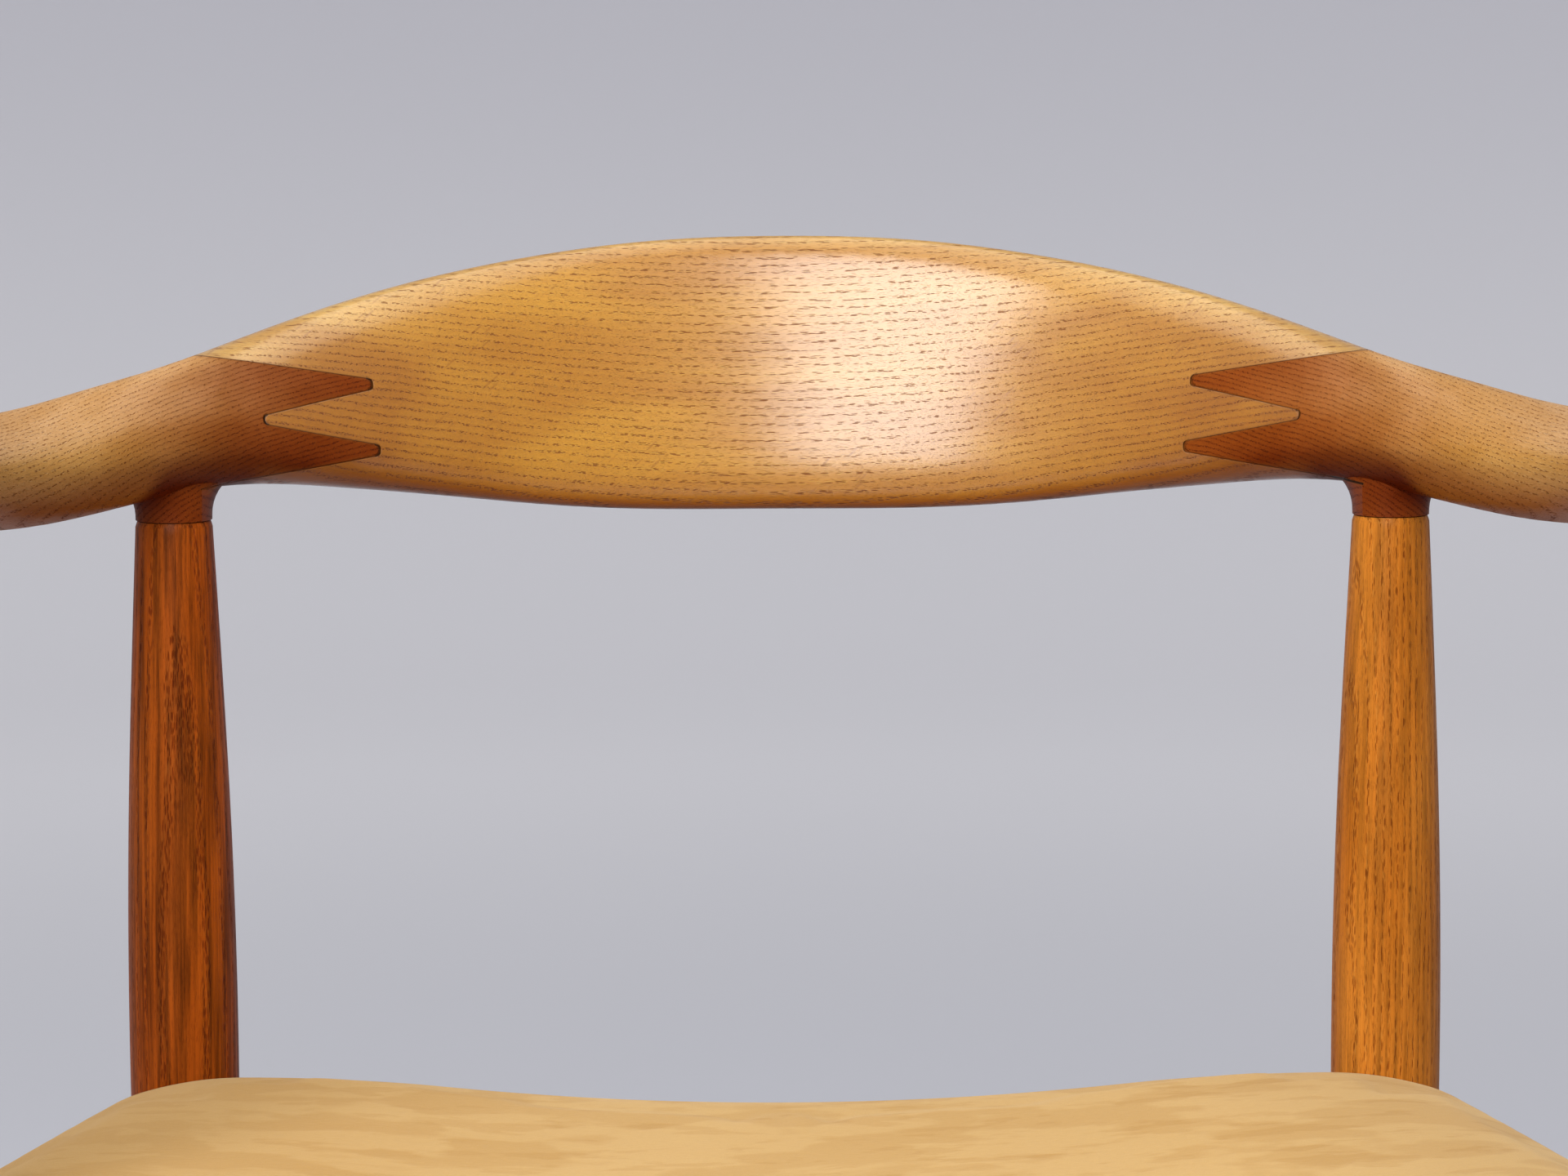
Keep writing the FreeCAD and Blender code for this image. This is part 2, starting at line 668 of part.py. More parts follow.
def seat_outline(seat, y, inset, drop):
    """Closed wire of lines and arcs round the upholstered seat at y, inside its surface by the inset."""
    half = seat.outer_x(y) + seat.beside
    level = seat.crown(y) - drop
    crown_x = half * CROWN_SHARE
    dip = seat.dip(y)
    both = (crown_x * crown_x + dip * dip) / (2 * dip)
    hollow = both * HOLLOW_SHARE
    crown = both - hollow
    slope = math.asin(crown_x / both)
    shoulder = size("shoulder_radius")
    corner = size("seat_corner_radius")
    corner_x = half - corner
    fall = math.asin((corner_x - crown_x) / (shoulder - corner))
    corner_z = level - shoulder + (shoulder - corner) * math.cos(fall)
    edges = [arc_round(0.0, y, level - dip + hollow, hollow + inset, math.pi - slope, math.pi + slope)]
    for sign in (-1, 1):
        side_x = sign * crown_x
        edges.append(arc_round(side_x, y, level - crown, crown - inset, -sign * slope, 0.0))
        edges.append(arc_round(side_x, y, level - shoulder, shoulder - inset, 0.0, sign * fall))
        edges.append(arc_round(sign * corner_x, y, corner_z, corner - inset, sign * fall, sign * math.pi / 2))
    return ring(edges, belly_run(seat, y, half - inset, inset - size("cover_thickness")))


def seat_form(seat, inset):
    """The upholstered seat's outer form, or one inside it by the inset, without its notches."""
    back = seat.back_face + seat.beside - inset
    front = seat.front_face - seat.beside + inset
    run = size("edge_run") - inset
    rows = []
    for turn in EDGE_TURNS:
        angle = math.radians(turn)
        rows.append((run * (1 - math.sin(angle)), size("edge_drop") * (1 - math.cos(angle))))
    places = [(front + run, drop) for run, drop in rows]
    places += [(back - run, drop) for run, drop in reversed(rows)]
    return Part.makeLoft([seat_outline(seat, y, inset, drop) for y, drop in places], True, True)


def leg_notches(seat, legs, gap):
    """The space round each leg that the seat's soft layers and blocks leave free, out to the corner."""
    notches = []
    reach = size("overrun")
    radius = size("leg_seat_radius") + gap
    for leg, axis, sign in zip(legs, (seat.back_axis, seat.front_axis), (1, -1)):
        post = Part.makeCylinder(radius, reach, leg.at(axis.z - reach / 2), leg.axis)
        corner = V(axis.x, min(axis.y, axis.y + sign * reach), axis.z - reach / 2)
        notch = post.fuse(Part.makeBox(reach, reach, reach, corner))
        notches += [notch, mirrored(notch)]
    return notches


# Seat frame


class Rail:
    """A seat rail between the axes of two legs, at the middle of its height."""

    def __init__(self, name, start, end):
        self.name = name
        self.start = start
        self.end = end
        self.along = V(end.x - start.x, end.y - start.y, 0)
        self.length = self.along.Length
        self.along = self.along / self.length
        self.turn = FreeCAD.Rotation(V(1, 0, 0), self.along)

    def point(self, distance, across=0.0):
        """A point of the rail's middle line, moved to its left by the distance across."""
        share = distance / self.length
        return self.start + (self.end - self.start) * share + UP.cross(self.along) * across


def seat_rails(seat):
    back, front = seat.back_axis, seat.front_axis
    back_left, front_left = V(-back.x, back.y, back.z), V(-front.x, front.y, front.z)
    return [
        Rail("back_rail", back_left, back),
        Rail("front_rail", front, front_left),
        Rail("side_rail_right", back, front),
        Rail("side_rail_left", front_left, back_left),
    ]


def tenon_boxes(rail, gap):
    """The tenon at each end of a rail, or the mortise round it when there is a gap."""
    depth = size("rail_tenon_depth") + size("rail_thickness") + gap
    thickness = size("rail_tenon_thickness") + 2 * gap
    height = size("rail_tenon_height") + 2 * gap
    inner_end = size("leg_seat_radius") - size("rail_tenon_depth") - gap
    boxes = []
    for i, start in enumerate((inner_end, rail.length - inner_end - depth)):
        corner = rail.point(start, -thickness / 2)
        middle = rail.start.z if i == 0 else rail.end.z
        corner.z = middle - height / 2
        kind = "mortise" if gap else "tenon"
        boxes.append(box_node(f"{rail.name}_{kind}_{i}", depth, thickness, height, moved(corner, rail.turn)))
    return boxes


def build_rails(seat, rails, blanks, fasteners):
    """Rails cut from the frame's saddle form, coped round the legs, with tenons and fastener holes."""
    beyond = -size("padding_beside_rail")
    end_form = layer(seat, beyond, (top_run, 0.0), (belly_run, 0.0))
    side_form = layer(seat, beyond, (top_run, seat.cross_lift), (belly_run, 0.0))
    forms = {"back": shape_node("end_rail_form", end_form), "side": shape_node("side_rail_form", side_form)}
    forms["front"] = forms["back"]
    wholes = []
    for rail in rails:
        name = rail.name
        corner = rail.point(0.0, -seat.half_rail)
        corner.z -= size("overrun") / 2
        placement = moved(corner, rail.turn)
        block = box_node(f"{name}_block", rail.length, "Sizes.rail_thickness", "Sizes.overrun", placement)
        shaped = pair_node("Common", f"{name}_shaped", block, forms[name.split("_")[0]])
        coped = pair_node("Cut", f"{name}_coped", shaped, blanks)
        wholes.append(fuse_node(f"{name}_tenoned", [coped] + tenon_boxes(rail, 0.0)))
    doc.recompute()
    for rail, whole in zip(rails, wholes):
        piece(shape_node(f"{rail.name}_drilled", whole.Shape.cut(fasteners[rail.name])), rail.name)


def block_body(name):
    """A corner block before it is fitted: a square whose inner corner is cut off."""
    body = doc.addObject("PartDesign::Body", name)
    sketch = body.newObject("Sketcher::SketchObject", f"{name}_outline")
    plane = [origin for origin in body.Origin.OriginFeatures if origin.Role == "XY_Plane"][0]
    sketch.AttachmentSupport = [(plane, "")]
    sketch.MapMode = "FlatFace"
    side = size("block_side")
    short = side * BLOCK_CORNER_SHARE
    corners = [V(), V(side, 0, 0), V(side, short, 0), V(short, side, 0), V(0, side, 0)]
    count = len(corners)
    for i, corner in enumerate(corners):
        sketch.addGeometry(Part.LineSegment(corner, corners[(i + 1) % count]), False)
    for i in range(count):
        sketch.addConstraint(Sketcher.Constraint("Coincident", i, 2, (i + 1) % count, 1))
    sketch.addConstraint(Sketcher.Constraint("Coincident", 0, 1, -1, 1))
    sketch.addConstraint(Sketcher.Constraint("Horizontal", 0))
    sketch.addConstraint(Sketcher.Constraint("Vertical", 1))
    sketch.addConstraint(Sketcher.Constraint("Horizontal", 3))
    sketch.addConstraint(Sketcher.Constraint("Vertical", 4))
    whole_side = "Sizes.block_side"
    cut_side = f"Sizes.block_side * {BLOCK_CORNER_SHARE}"
    bound = [
        ("DistanceX", 0, 1, 0, 2, side, whole_side),
        ("DistanceY", 4, 2, 4, 1, side, whole_side),
        ("DistanceY", 1, 1, 1, 2, short, cut_side),
        ("DistanceX", 3, 2, 3, 1, short, cut_side),
    ]
    for kind, first, start, second, end, length, expression in bound:
        index = sketch.addConstraint(Sketcher.Constraint(kind, first, start, second, end, length))
        sketch.setExpression(f"Constraints[{index}]", expression)
    pad = body.newObject("PartDesign::Pad", f"{name}_pad")
    pad.Profile = sketch
    pad.setExpression("Length", "Sizes.block_height")
    return body


class Corner:
    """A corner of the seat: the leg's axis there, and the ways from it along its two rails."""

    def __init__(self, seat, end, side):
        self.name = f"{end}_{side}"
        self.end_rail = f"{end}_rail"
        self.side_rail = f"side_rail_{side}"
        sign = 1 if side == "right" else -1
        axis = seat.back_axis if end == "back" else seat.front_axis
        self.axis = V(sign * axis.x, axis.y, axis.z)
        forward = -1 if end == "back" else 1
        self.end_way = V(-sign, 0, 0)
        self.end_out = V(0, -forward, 0)
        self.side_way = V(-forward * sign * math.sin(seat.turn), forward * math.cos(seat.turn), 0)
        self.side_out = V(sign * math.cos(seat.turn), math.sin(seat.turn), 0)
        self.quarter = {(-1, -1): 2, (-1, 1): 1, (1, -1): 3, (1, 1): 0}[(-sign, forward)]
        self.base = seat.top_level(axis.y) - size("block_drop") - size("block_height")


def build_blocks(corners, room):
    """Corner blocks behind the legs, fitted round the legs, rails and screws that are in the room."""
    for corner in corners:
        body = block_body(f"block_{corner.name}")
        turn = FreeCAD.Rotation(UP, corner.quarter * QUARTER_TURN)
        body.Placement = moved(V(corner.axis.x, corner.axis.y, corner.base), turn)
        piece(pair_node("Cut", f"block_{corner.name}_fitted", body, room), f"corner_block_{corner.name}")


def screw(point, way):
    """A slotted wood screw whose head's top is at the point and whose length runs the given way."""
    head, shank = size("screw_head_radius"), size("screw_shank_radius")
    height, tip = size("screw_head_height"), size("screw_point_length")
    straight = size("screw_length") - height - tip
    top = Part.makeCone(head, shank, height, point, way)
    rod = Part.makeCylinder(shank, straight, point + way * height, way)
    end = Part.makeCone(shank, shank * POINT_SHARE, tip, point + way * (height + straight), way)
    groove = shank * SLOT_SHARE
    slot = Part.makeBox(head * 2, groove, groove, V(-head, -groove / 2, 0))
    slot.Placement = moved(point, FreeCAD.Rotation(UP, way))
    return top.fuse([rod, end]).cut(slot)


def block_screws(seat, corners):
    """Two screws in each corner block: the rail that each bites into, the screw, and the bore to its head."""
    found = []
    radius = size("screw_head_radius") + size("glue_gap")
    back = seat.half_rail + size("screw_length") - size("screw_bite")
    for corner in corners:
        middle = V(corner.axis.x, corner.axis.y, corner.base + size("block_height") / 2)
        lift = UP * (size("screw_spacing") / 2)
        on_end = middle + corner.end_way * size("screw_place") - lift
        on_side = middle + corner.side_way * size("screw_place") + lift
        rows = ((corner.end_rail, on_end, corner.end_out), (corner.side_rail, on_side, corner.side_out))
        for rail_name, on_rail, out in rows:
            head = on_rail - out * back
            bore = Part.makeCylinder(radius, size("block_side"), head, out * -1)
            found.append((rail_name, screw(head, out), bore))
    return found


# Webbing, hessian, padding, cover and dust cover


class Tack:
    """A tack on a surface given by its height. Its head lies on the surface and its shank goes in."""

    def __init__(self, rail_name, level, x, y, lift, way_z):
        self.rail_name = rail_name
        step = size("tack_head_radius")
        slope_x = (level(x + step, y) - level(x - step, y)) / (2 * step)
        slope_y = (level(x, y + step) - level(x, y - step)) / (2 * step)
        way = V(-slope_x, -slope_y, 1).normalize() * way_z
        point = V(x, y, level(x, y) + lift)
        thickness = size("tack_head_thickness")
        straight = size("tack_shank_length") - size("tack_point_length")
        radius = size("tack_shank_radius")
        tip = size("tack_point_length")
        rod = Part.makeCylinder(radius, thickness + straight, point - way * thickness, way)
        end = Part.makeCone(radius, radius * POINT_SHARE, tip, point + way * straight, way)
        self.shank = rod.fuse(end)
        head = Part.makeCylinder(size("tack_head_radius"), thickness, point - way * thickness, way)
        self.solid = head.fuse(self.shank)


class Strap:
    """A webbing strap: its layer's lift, the corner and sides of its own box, and its tacks."""

    def __init__(self, label, lift, corner, sides):
        self.label = label
        self.lift = lift
        self.corner = corner
        self.sides = sides
        self.tacks = []


def straps_of(seat):
    """Lengthwise straps over the front and back rails, then cross straps over the side rails."""
    inset = size("tack_inset")
    half = size("web_width") / 2
    deep = size("overrun")
    wide = seat.front_axis.x + deep
    long = seat.run + deep
    floor = seat.back_axis.z - deep / 2
    ends = (("back_rail", seat.back_face - inset), ("front_rail", seat.front_face + inset))
    straps = []
    for i, share in enumerate(LENGTHWISE_STRAP_SHARES, start=1):
        x = seat.inner_x(seat.back_axis.y) * share
        corner = V(x - half, seat.front_axis.y - deep / 2, floor)
        strap = Strap(f"lengthwise_strap_{i}", 0.0, corner, ("Sizes.web_width", long, "Sizes.overrun"))
        for place in STRAP_TACK_SHARES:
            tack_x = x + size("web_width") * place
            for rail_name, y in ends:
                strap.tacks.append(Tack(rail_name, seat.top, tack_x, y, size("web_thickness"), -1))
        straps.append(strap)
    for i, share in enumerate(CROSS_STRAP_SHARES, start=1):
        y = seat.back_axis.y - seat.run * share
        sides = (wide * 2, "Sizes.web_width", "Sizes.overrun")
        strap = Strap(f"cross_strap_{i}", seat.cross_lift, V(-wide, y - half, floor), sides)
        for place in STRAP_TACK_SHARES:
            tack_y = y + size("web_width") * place
            for sign, side in ((-1, "left"), (1, "right")):
                x = sign * (seat.outer_x(tack_y) - inset)
                lift = seat.cross_lift + size("web_thickness")
                strap.tacks.append(Tack(f"side_rail_{side}", seat.flat_top, x, tack_y, lift, -1))
        straps.append(strap)
    return straps


def build_straps(seat, straps):
    """Each strap is cut from its layer and pierced by its own tacks."""
    forms = {}
    for strap in straps:
        if strap.lift not in forms:
            over = (top_run, strap.lift + size("web_thickness"))
            form = layer(seat, size("web_end_margin"), over, (top_run, strap.lift))
            forms[strap.lift] = shape_node("strap_layer", form)
        box = box_node(f"{strap.label}_box", *strap.sides, moved(strap.corner))
        whole = pair_node("Common", f"{strap.label}_whole", forms[strap.lift], box)
        holes = shape_node(f"{strap.label}_holes", Part.makeCompound([tack.shank for tack in strap.tacks]))
        piece(pair_node("Cut", f"{strap.label}_pierced", whole, holes), strap.label)


def edge_tacks(seat, rails, lift, count):
    """Rows of tacks driven up into the rails. A row with one tack less stands between the others."""
    tacks = []
    margin = size("tack_end_margin")
    across = seat.half_rail - size("tack_inset")
    for rail in rails:
        for i in range(count):
            share = (i + (TACKS_PER_RAIL - count) / 2) / (TACKS_PER_RAIL - 1)
            point = rail.point(between(margin, rail.length - margin, share), across)
            tacks.append(Tack(rail.name, seat.belly, point.x, point.y, lift, 1))
    return tacks


def build_upholstery(seat, legs, cover_tacks, dust_tacks):
    """Hessian, padding, suede cover and the cloth underneath."""
    gap = size("layer_gap")
    cover = size("cover_thickness")
    notches = leg_notches(seat, legs, size("leg_notch_gap"))
    lift = seat.hessian_lift
    upper = (top_run, lift + size("hessian_thickness"))
    hessian = layer(seat, size("web_end_margin"), upper, (top_run, lift))
    piece(shape_node("hessian", hessian.cut(notches)), "hessian_sheet")
    core = layer(seat, -gap, (top_run, seat.padding_lift), (belly_run, -size("overrun")))
    padding = seat_form(seat, cover + gap).cut([core] + notches)
    piece(shape_node("padding", padding), "seat_padding")
    below = (belly_run, -size("overrun"))
    opening = layer(seat, size("cover_lip") - seat.beside, (top_run, -size("rail_height") / 2), below)
    skin = seat_form(seat, 0.0).cut([seat_form(seat, cover), opening] + notches)
    dust_shanks = [tack.shank for tack in dust_tacks]
    piece(shape_node("cover", skin.cut([tack.shank for tack in cover_tacks] + dust_shanks)), "suede_cover")
    top = seat.dust_lift
    under = (belly_run, top - size("dust_cover_thickness"))
    cloth = layer(seat, size("dust_cover_margin"), (belly_run, top), under)
    piece(shape_node("dust_cloth", cloth.cut(notches + dust_shanks)), "dust_cover")


# Glides


def build_glide(leg, side):
    """A glide under a foot, bored for the nail that holds it."""
    name = f"{leg.name}_{side}"
    sign = 1 if side == "right" else -1
    centre = leg.at(size("glide_height"))
    centre = V(sign * centre.x, centre.y, 0)
    disc = doc.addObject("Part::Cylinder", f"{name}_disc")
    disc.setExpression("Radius", "Sizes.glide_radius")
    disc.setExpression("Height", "Sizes.glide_height")
    disc.Placement = moved(centre)
    recess = doc.addObject("Part::Cylinder", f"{name}_recess")
    recess.setExpression("Radius", "Sizes.nail_head_radius + Sizes.glue_gap")
    recess.setExpression("Height", "Sizes.nail_recess")
    recess.Placement = moved(centre)
    bore = doc.addObject("Part::Cylinder", f"{name}_bore")
    bore.setExpression("Radius", "Sizes.nail_radius")
    bore.setExpression("Height", "Sizes.glide_height")
    bore.Placement = moved(centre)
    hole = fuse_node(f"{name}_hole", [recess, bore])
    piece(pair_node("Cut", f"{name}_glide", disc, hole), f"{leg.name}_glide_{side}")
    head = size("nail_head_thickness")
    seat_z = V(0, 0, size("nail_recess"))
    nail = Part.makeCylinder(size("nail_head_radius"), head, centre + seat_z - V(0, 0, head))
    return nail.fuse(Part.makeCylinder(size("nail_radius"), size("nail_length"), centre + seat_z))


# Assembly


def build_groups(groups):
    """Like fasteners share a node, as separate solids."""
    for name, solids in groups.items():
        piece(shape_node(f"{name}_group", Part.makeCompound(solids)), name)


def build_chair():
    fill_sheet()
    box = horseshoe(Plan(0.0)).optimalBoundingBox()
    plan = Plan(-(box.YMin + box.YMax) / 2)
    legs = [Leg(plan, "back_leg"), Leg(plan, "front_leg")]
    seat = Seat(legs)
    rails = seat_rails(seat)
    corners = [Corner(seat, end, side) for end in ("back", "front") for side in ("left", "right")]
    straps = straps_of(seat)
    strap_tacks = [tack for strap in straps for tack in strap.tacks]
    cover_tacks = edge_tacks(seat, rails, seat.lip_lift, TACKS_PER_RAIL)
    dust_lift = seat.dust_lift - size("dust_cover_thickness")
    dust_tacks = edge_tacks(seat, rails, dust_lift, TACKS_PER_RAIL - 1)
    screws = block_screws(seat, corners)

    build_horseshoe(plan, legs)
    nails = []
    blanks = {}
    for leg in legs:
        for side in ("left", "right"):
            blanks[f"{leg.name}_{side}"] = leg_blank(leg, side)
            nails.append(build_glide(leg, side))
    mortises = fuse_node("mortises", [box for rail in rails for box in tenon_boxes(rail, size("glue_gap"))])
    nail_holes = shape_node("nail_holes", Part.makeCompound(nails))
    for name, blank in blanks.items():
        mortised = pair_node("Cut", f"{name}_mortised", blank, mortises)
        piece(pair_node("Cut", f"{name}_drilled", mortised, nail_holes), name)

    fasteners = {rail.name: [] for rail in rails}
    for tack in strap_tacks + cover_tacks + dust_tacks:
        fasteners[tack.rail_name].append(tack.shank)
    for rail_name, solid, bore in screws:
        fasteners[rail_name].append(solid)
    build_rails(seat, rails, fuse_node("leg_blanks", list(blanks.values())), fasteners)
    posts = leg_notches(seat, legs, size("leg_notch_gap"))
    rail_blocks = [doc.getObject(f"{rail.name}_block").Shape for rail in rails]
    screw_room = [shape for rail_name, solid, bore in screws for shape in (solid, bore)]
    build_blocks(corners, shape_node("block_room", posts[0].fuse(posts[1:] + rail_blocks + screw_room)))
    build_straps(seat, straps)
    build_upholstery(seat, legs, cover_tacks, dust_tacks)
    build_groups(
        {
            "corner_block_screws": [solid for rail_name, solid, bore in screws],
            "strap_tacks": [tack.solid for tack in strap_tacks],
            "cover_tacks": [tack.solid for tack in cover_tacks],
            "dust_cover_tacks": [tack.solid for tack in dust_tacks],
            "glide_nails": nails,
        }
    )
    doc.recompute()


def check_and_export():
    """Refuses a failed object or an empty or invalid shape, then writes each sub-part to its own file."""
    for node in doc.Objects:
        if {"Invalid", "Error"} & set(node.State):
            raise RuntimeError(f"{node.Name} failed: {node.State}")
    for node in pieces:
        shape = node.Shape
        if shape.isNull() or not shape.isValid() or not shape.Solids:
            raise RuntimeError(f"{node.Label} has no valid shape")
    os.makedirs("parts", exist_ok=True)
    for node in pieces:
        node.Shape.exportStep(f"parts/{node.Label}.step")
        print(f"{node.Label}: {len(node.Shape.Solids)} solid(s)")


build_chair()
check_and_export()
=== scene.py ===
"""A round-back armchair in oak with a suede seat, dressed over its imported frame, in a plain studio."""

import math

import bmesh
import bpy
import numpy as np
from bpy.props import FloatProperty, FloatVectorProperty, IntProperty, PointerProperty
from mathutils import Matrix, Vector


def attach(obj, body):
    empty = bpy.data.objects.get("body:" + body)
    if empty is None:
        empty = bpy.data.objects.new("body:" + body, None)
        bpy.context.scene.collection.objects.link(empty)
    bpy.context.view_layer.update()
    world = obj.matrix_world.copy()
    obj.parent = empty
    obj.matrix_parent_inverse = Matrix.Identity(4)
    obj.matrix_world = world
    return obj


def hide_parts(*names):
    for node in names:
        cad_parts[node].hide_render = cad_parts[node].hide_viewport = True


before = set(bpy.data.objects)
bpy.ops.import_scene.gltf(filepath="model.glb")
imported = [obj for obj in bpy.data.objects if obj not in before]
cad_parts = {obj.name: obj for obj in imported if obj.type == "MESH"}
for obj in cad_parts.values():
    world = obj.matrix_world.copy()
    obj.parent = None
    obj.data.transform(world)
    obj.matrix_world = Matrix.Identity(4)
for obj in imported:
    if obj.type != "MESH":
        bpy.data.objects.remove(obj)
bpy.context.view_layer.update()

bl_info = {
    "name": "Round-back armchair",
    "version": (1, 0, 0),
    "blender": (4, 5, 0),
    "location": "3D View > Sidebar > Armchair",
    "description": "Dresses the frame of a round-back oak armchair and sets its studio",
    "category": "Object",
}

MM = 0.001
X_AXIS, Y_AXIS, Z_AXIS = (1, 0, 0), (0, 1, 0), (0, 0, 1)

# The stage, in metres.
CAMERA_PLACE = (0.0005, -1.3075, 0.7275)
CAMERA_PITCH, CAMERA_ROLL = math.radians(86.0), math.radians(-0.28)
CAMERA_LENS = 89.2
KEY_PLACE, KEY_TARGET, KEY_SIZE = (-0.50, -1.88, 1.60), (0.0, 0.2, 0.70), (1.10, 1.6)
TOP_PLACE, TOP_TARGET, TOP_SIZE = (0.0, -0.2, 3.4), (0.0, 0.0, 0.5), (3.0, 3.0)
FLOOR_RINGS, FLOOR_BEND, WALL_LEVELS = (1.0, 2.5, 4.5, 6.5), 2.0, (3.5, 5.5)

# Fasteners, in metres: radii of head and shank, length of the shank and of its point. A tack's head narrows
# to a share of its radius on the outside. Head reach and head skin tell a head's points from the shank's.
TACK = {"head_radius": 0.003, "shank_radius": 0.0008, "length": 0.0085, "point": 0.0025}
SCREW = {"head_radius": 0.004, "shank_radius": 0.002, "length": 0.0216, "point": 0.004}
SCREW_HEAD, TACK_NARROWING = 0.0024, 0.62
HEAD_REACH, HEAD_SKIN = 0.0012, 0.00005

# Webbing and sheets, in millimetres. Shares are of half the frame's inner width, or of the seat's run.
STRAP_WIDTH, STRAP_THICKNESS, CROSS_STRAP_LIFT, SELVEDGE_THINNING = 50.0, 1.5, 1.65, 0.35
LENGTHWISE_SHARES, CROSS_SHARES = (-0.72, -0.24, 0.24, 0.72), (0.17, 0.39, 0.61, 0.83)
FRAME_MARGIN, SHEET_THICKNESS, SHEET_SPARE = 4.0, 0.8, 1.01
HESSIAN_LIFT, DUST_COVER_DROP = 3.9, 3.05

# The suede, in millimetres: its lip underneath, the depth where it is held, and the room round the legs.
COVER_LIP, HELD_DEPTH, HELD_EASE = 26.0, 16.0, 18.0
LEG_ROOM_RADIUS, LEG_ROOM_LEVELS, CORNER_ROOM = 20.7, (340.0, 500.0), 120.0

# The oak, in millimetres: the pores' length, and how far and how low the collars reach round the legs' axes.
PORE_LENGTH, FINE_PORE_LENGTH, FINE_PORE_WIDTH = 4.6, 4.0, 0.3
COLLAR_REACH, COLLAR_LEVELS = (38.0, 26.0), (681.0, 665.0)

LEG_NAMES = ("back_leg_right", "back_leg_left", "front_leg_right", "front_leg_left")
# A leg's foot stands on its glide. The trims, in millimetres, say how near to its ends its points are moved.
FOOT_LEVEL, FOOT_TRIM, SHOULDER_TRIM = 4.0, 0.9, 0.5
# The right-hand legs, in millimetres: middle of the foot on the floor and of the shoulder under the arm.
LEG_LINES = {
    "back_leg": ((230.3, 178.5, 0.0), (227.3, 142.5, 652.6)),
    "front_leg": ((281.6, -207.5, 0.0), (278.6, -197.5, 654.5)),
}
# Heights as shares of the leg's length, and the radius at each.
LEG_SHARES = (0.0, 0.3, 0.56, 0.72, 0.83, 0.92, 1.0)
LEG_RADII = (12.0, 16.37, 19.64, 20.4, 19.04, 16.68, 14.2)
LEG_WIDEST = 25.0


class ChairSizes(bpy.types.PropertyGroup):
    """Sizes of the details that are made here."""

    leg_rings: IntProperty(name="Leg rings", description="Rings along a turned leg", default=300, min=20)
    leg_sides: IntProperty(name="Leg sides", description="Points round a turned leg", default=64, min=8)
    shoulder_ease: FloatProperty(
        name="Shoulder ease", description="Rounding of a leg under the arm", default=0.0006, unit="LENGTH"
    )
    seat_voxel: FloatProperty(
        name="Seat mesh", description="Cell of the foam's and suede's meshes", default=0.004, unit="LENGTH"
    )
    seat_swell: FloatProperty(
        name="Seat swell", description="Most that the suede may swell", default=0.0022, unit="LENGTH"
    )
    suede_thickness: FloatProperty(
        name="Suede thickness", description="Thickness of the cover", default=0.0014, unit="LENGTH"
    )
    tack_dome: FloatProperty(
        name="Tack dome", description="Height of a tack's head", default=0.0006, unit="LENGTH"
    )


class ChairColours(bpy.types.PropertyGroup):
    """Colours of the finishes, in linear light."""

    oak_crest: FloatVectorProperty(
        name="Crest oak", description="Crest rail", default=(0.405, 0.186, 0.014), subtype="COLOR"
    )
    oak_arms: FloatVectorProperty(
        name="Arm oak", description="Arms, along the grain", default=(0.43, 0.205, 0.046), subtype="COLOR"
    )
    oak_arm_ends: FloatVectorProperty(
        name="Arm ends", description="Arms, across the grain", default=(0.150, 0.028, 0.0026), subtype="COLOR"
    )
    oak_leg_light: FloatVectorProperty(
        name="Light leg oak", description="Right-hand legs", default=(0.40, 0.135, 0.014), subtype="COLOR"
    )
    oak_leg_dark: FloatVectorProperty(
        name="Dark leg oak", description="Left-hand legs", default=(0.235, 0.049, 0.0034), subtype="COLOR"
    )
    suede: FloatVectorProperty(
        name="Suede", description="Seat cover", default=(0.475, 0.285, 0.085), subtype="COLOR"
    )
    stage: FloatVectorProperty(
        name="Backdrop", description="Floor and backdrop", default=(0.60, 0.60, 0.64), subtype="COLOR"
    )


class StudioLights(bpy.types.PropertyGroup):
    """Strengths of the studio's lights."""

    key: FloatProperty(name="Key", description="Soft light at the front left", default=69.0, unit="POWER")
    top: FloatProperty(name="Top", description="Soft light overhead", default=60.0, unit="POWER")
    sky: FloatProperty(name="Surround", description="Even light from all round", default=0.42)


# Meshes


def coat(mesh, material):
    """Gives a mesh its only material."""
    mesh.materials.clear()
    mesh.materials.append(material)


def new_piece(name, mesh, material=None):
    """An object with this mesh, linked to the scene, at the origin."""
    piece = bpy.data.objects.new(name, mesh)
    bpy.context.scene.collection.objects.link(piece)
    if material:
        coat(mesh, material)
    return piece


def take_place(piece, node):
    """Puts a finished piece in the place of a CAD node, on the chair's only body."""
    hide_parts(node)
    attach(piece, "root")


def between(low, high, share):
    """The value a share of the way from low to high."""
    return low + (high - low) * share


def vertex_rows(mesh, what):
    """The points or normals of a mesh, in one row for each vertex."""
    values = np.zeros(len(mesh.vertices) * 3)
    mesh.vertices.foreach_get(what, values)
    return values.reshape(-1, 3)


def mesh_from(name, points, faces):
    """A smooth-shaded mesh from points in millimetres."""
    mesh = bpy.data.meshes.new(name)
    mesh.from_pydata([tuple(c * MM for c in p) for p in points], [], faces)
    mesh.polygons.foreach_set("use_smooth", [True] * len(mesh.polygons))
    mesh.update()
    return mesh


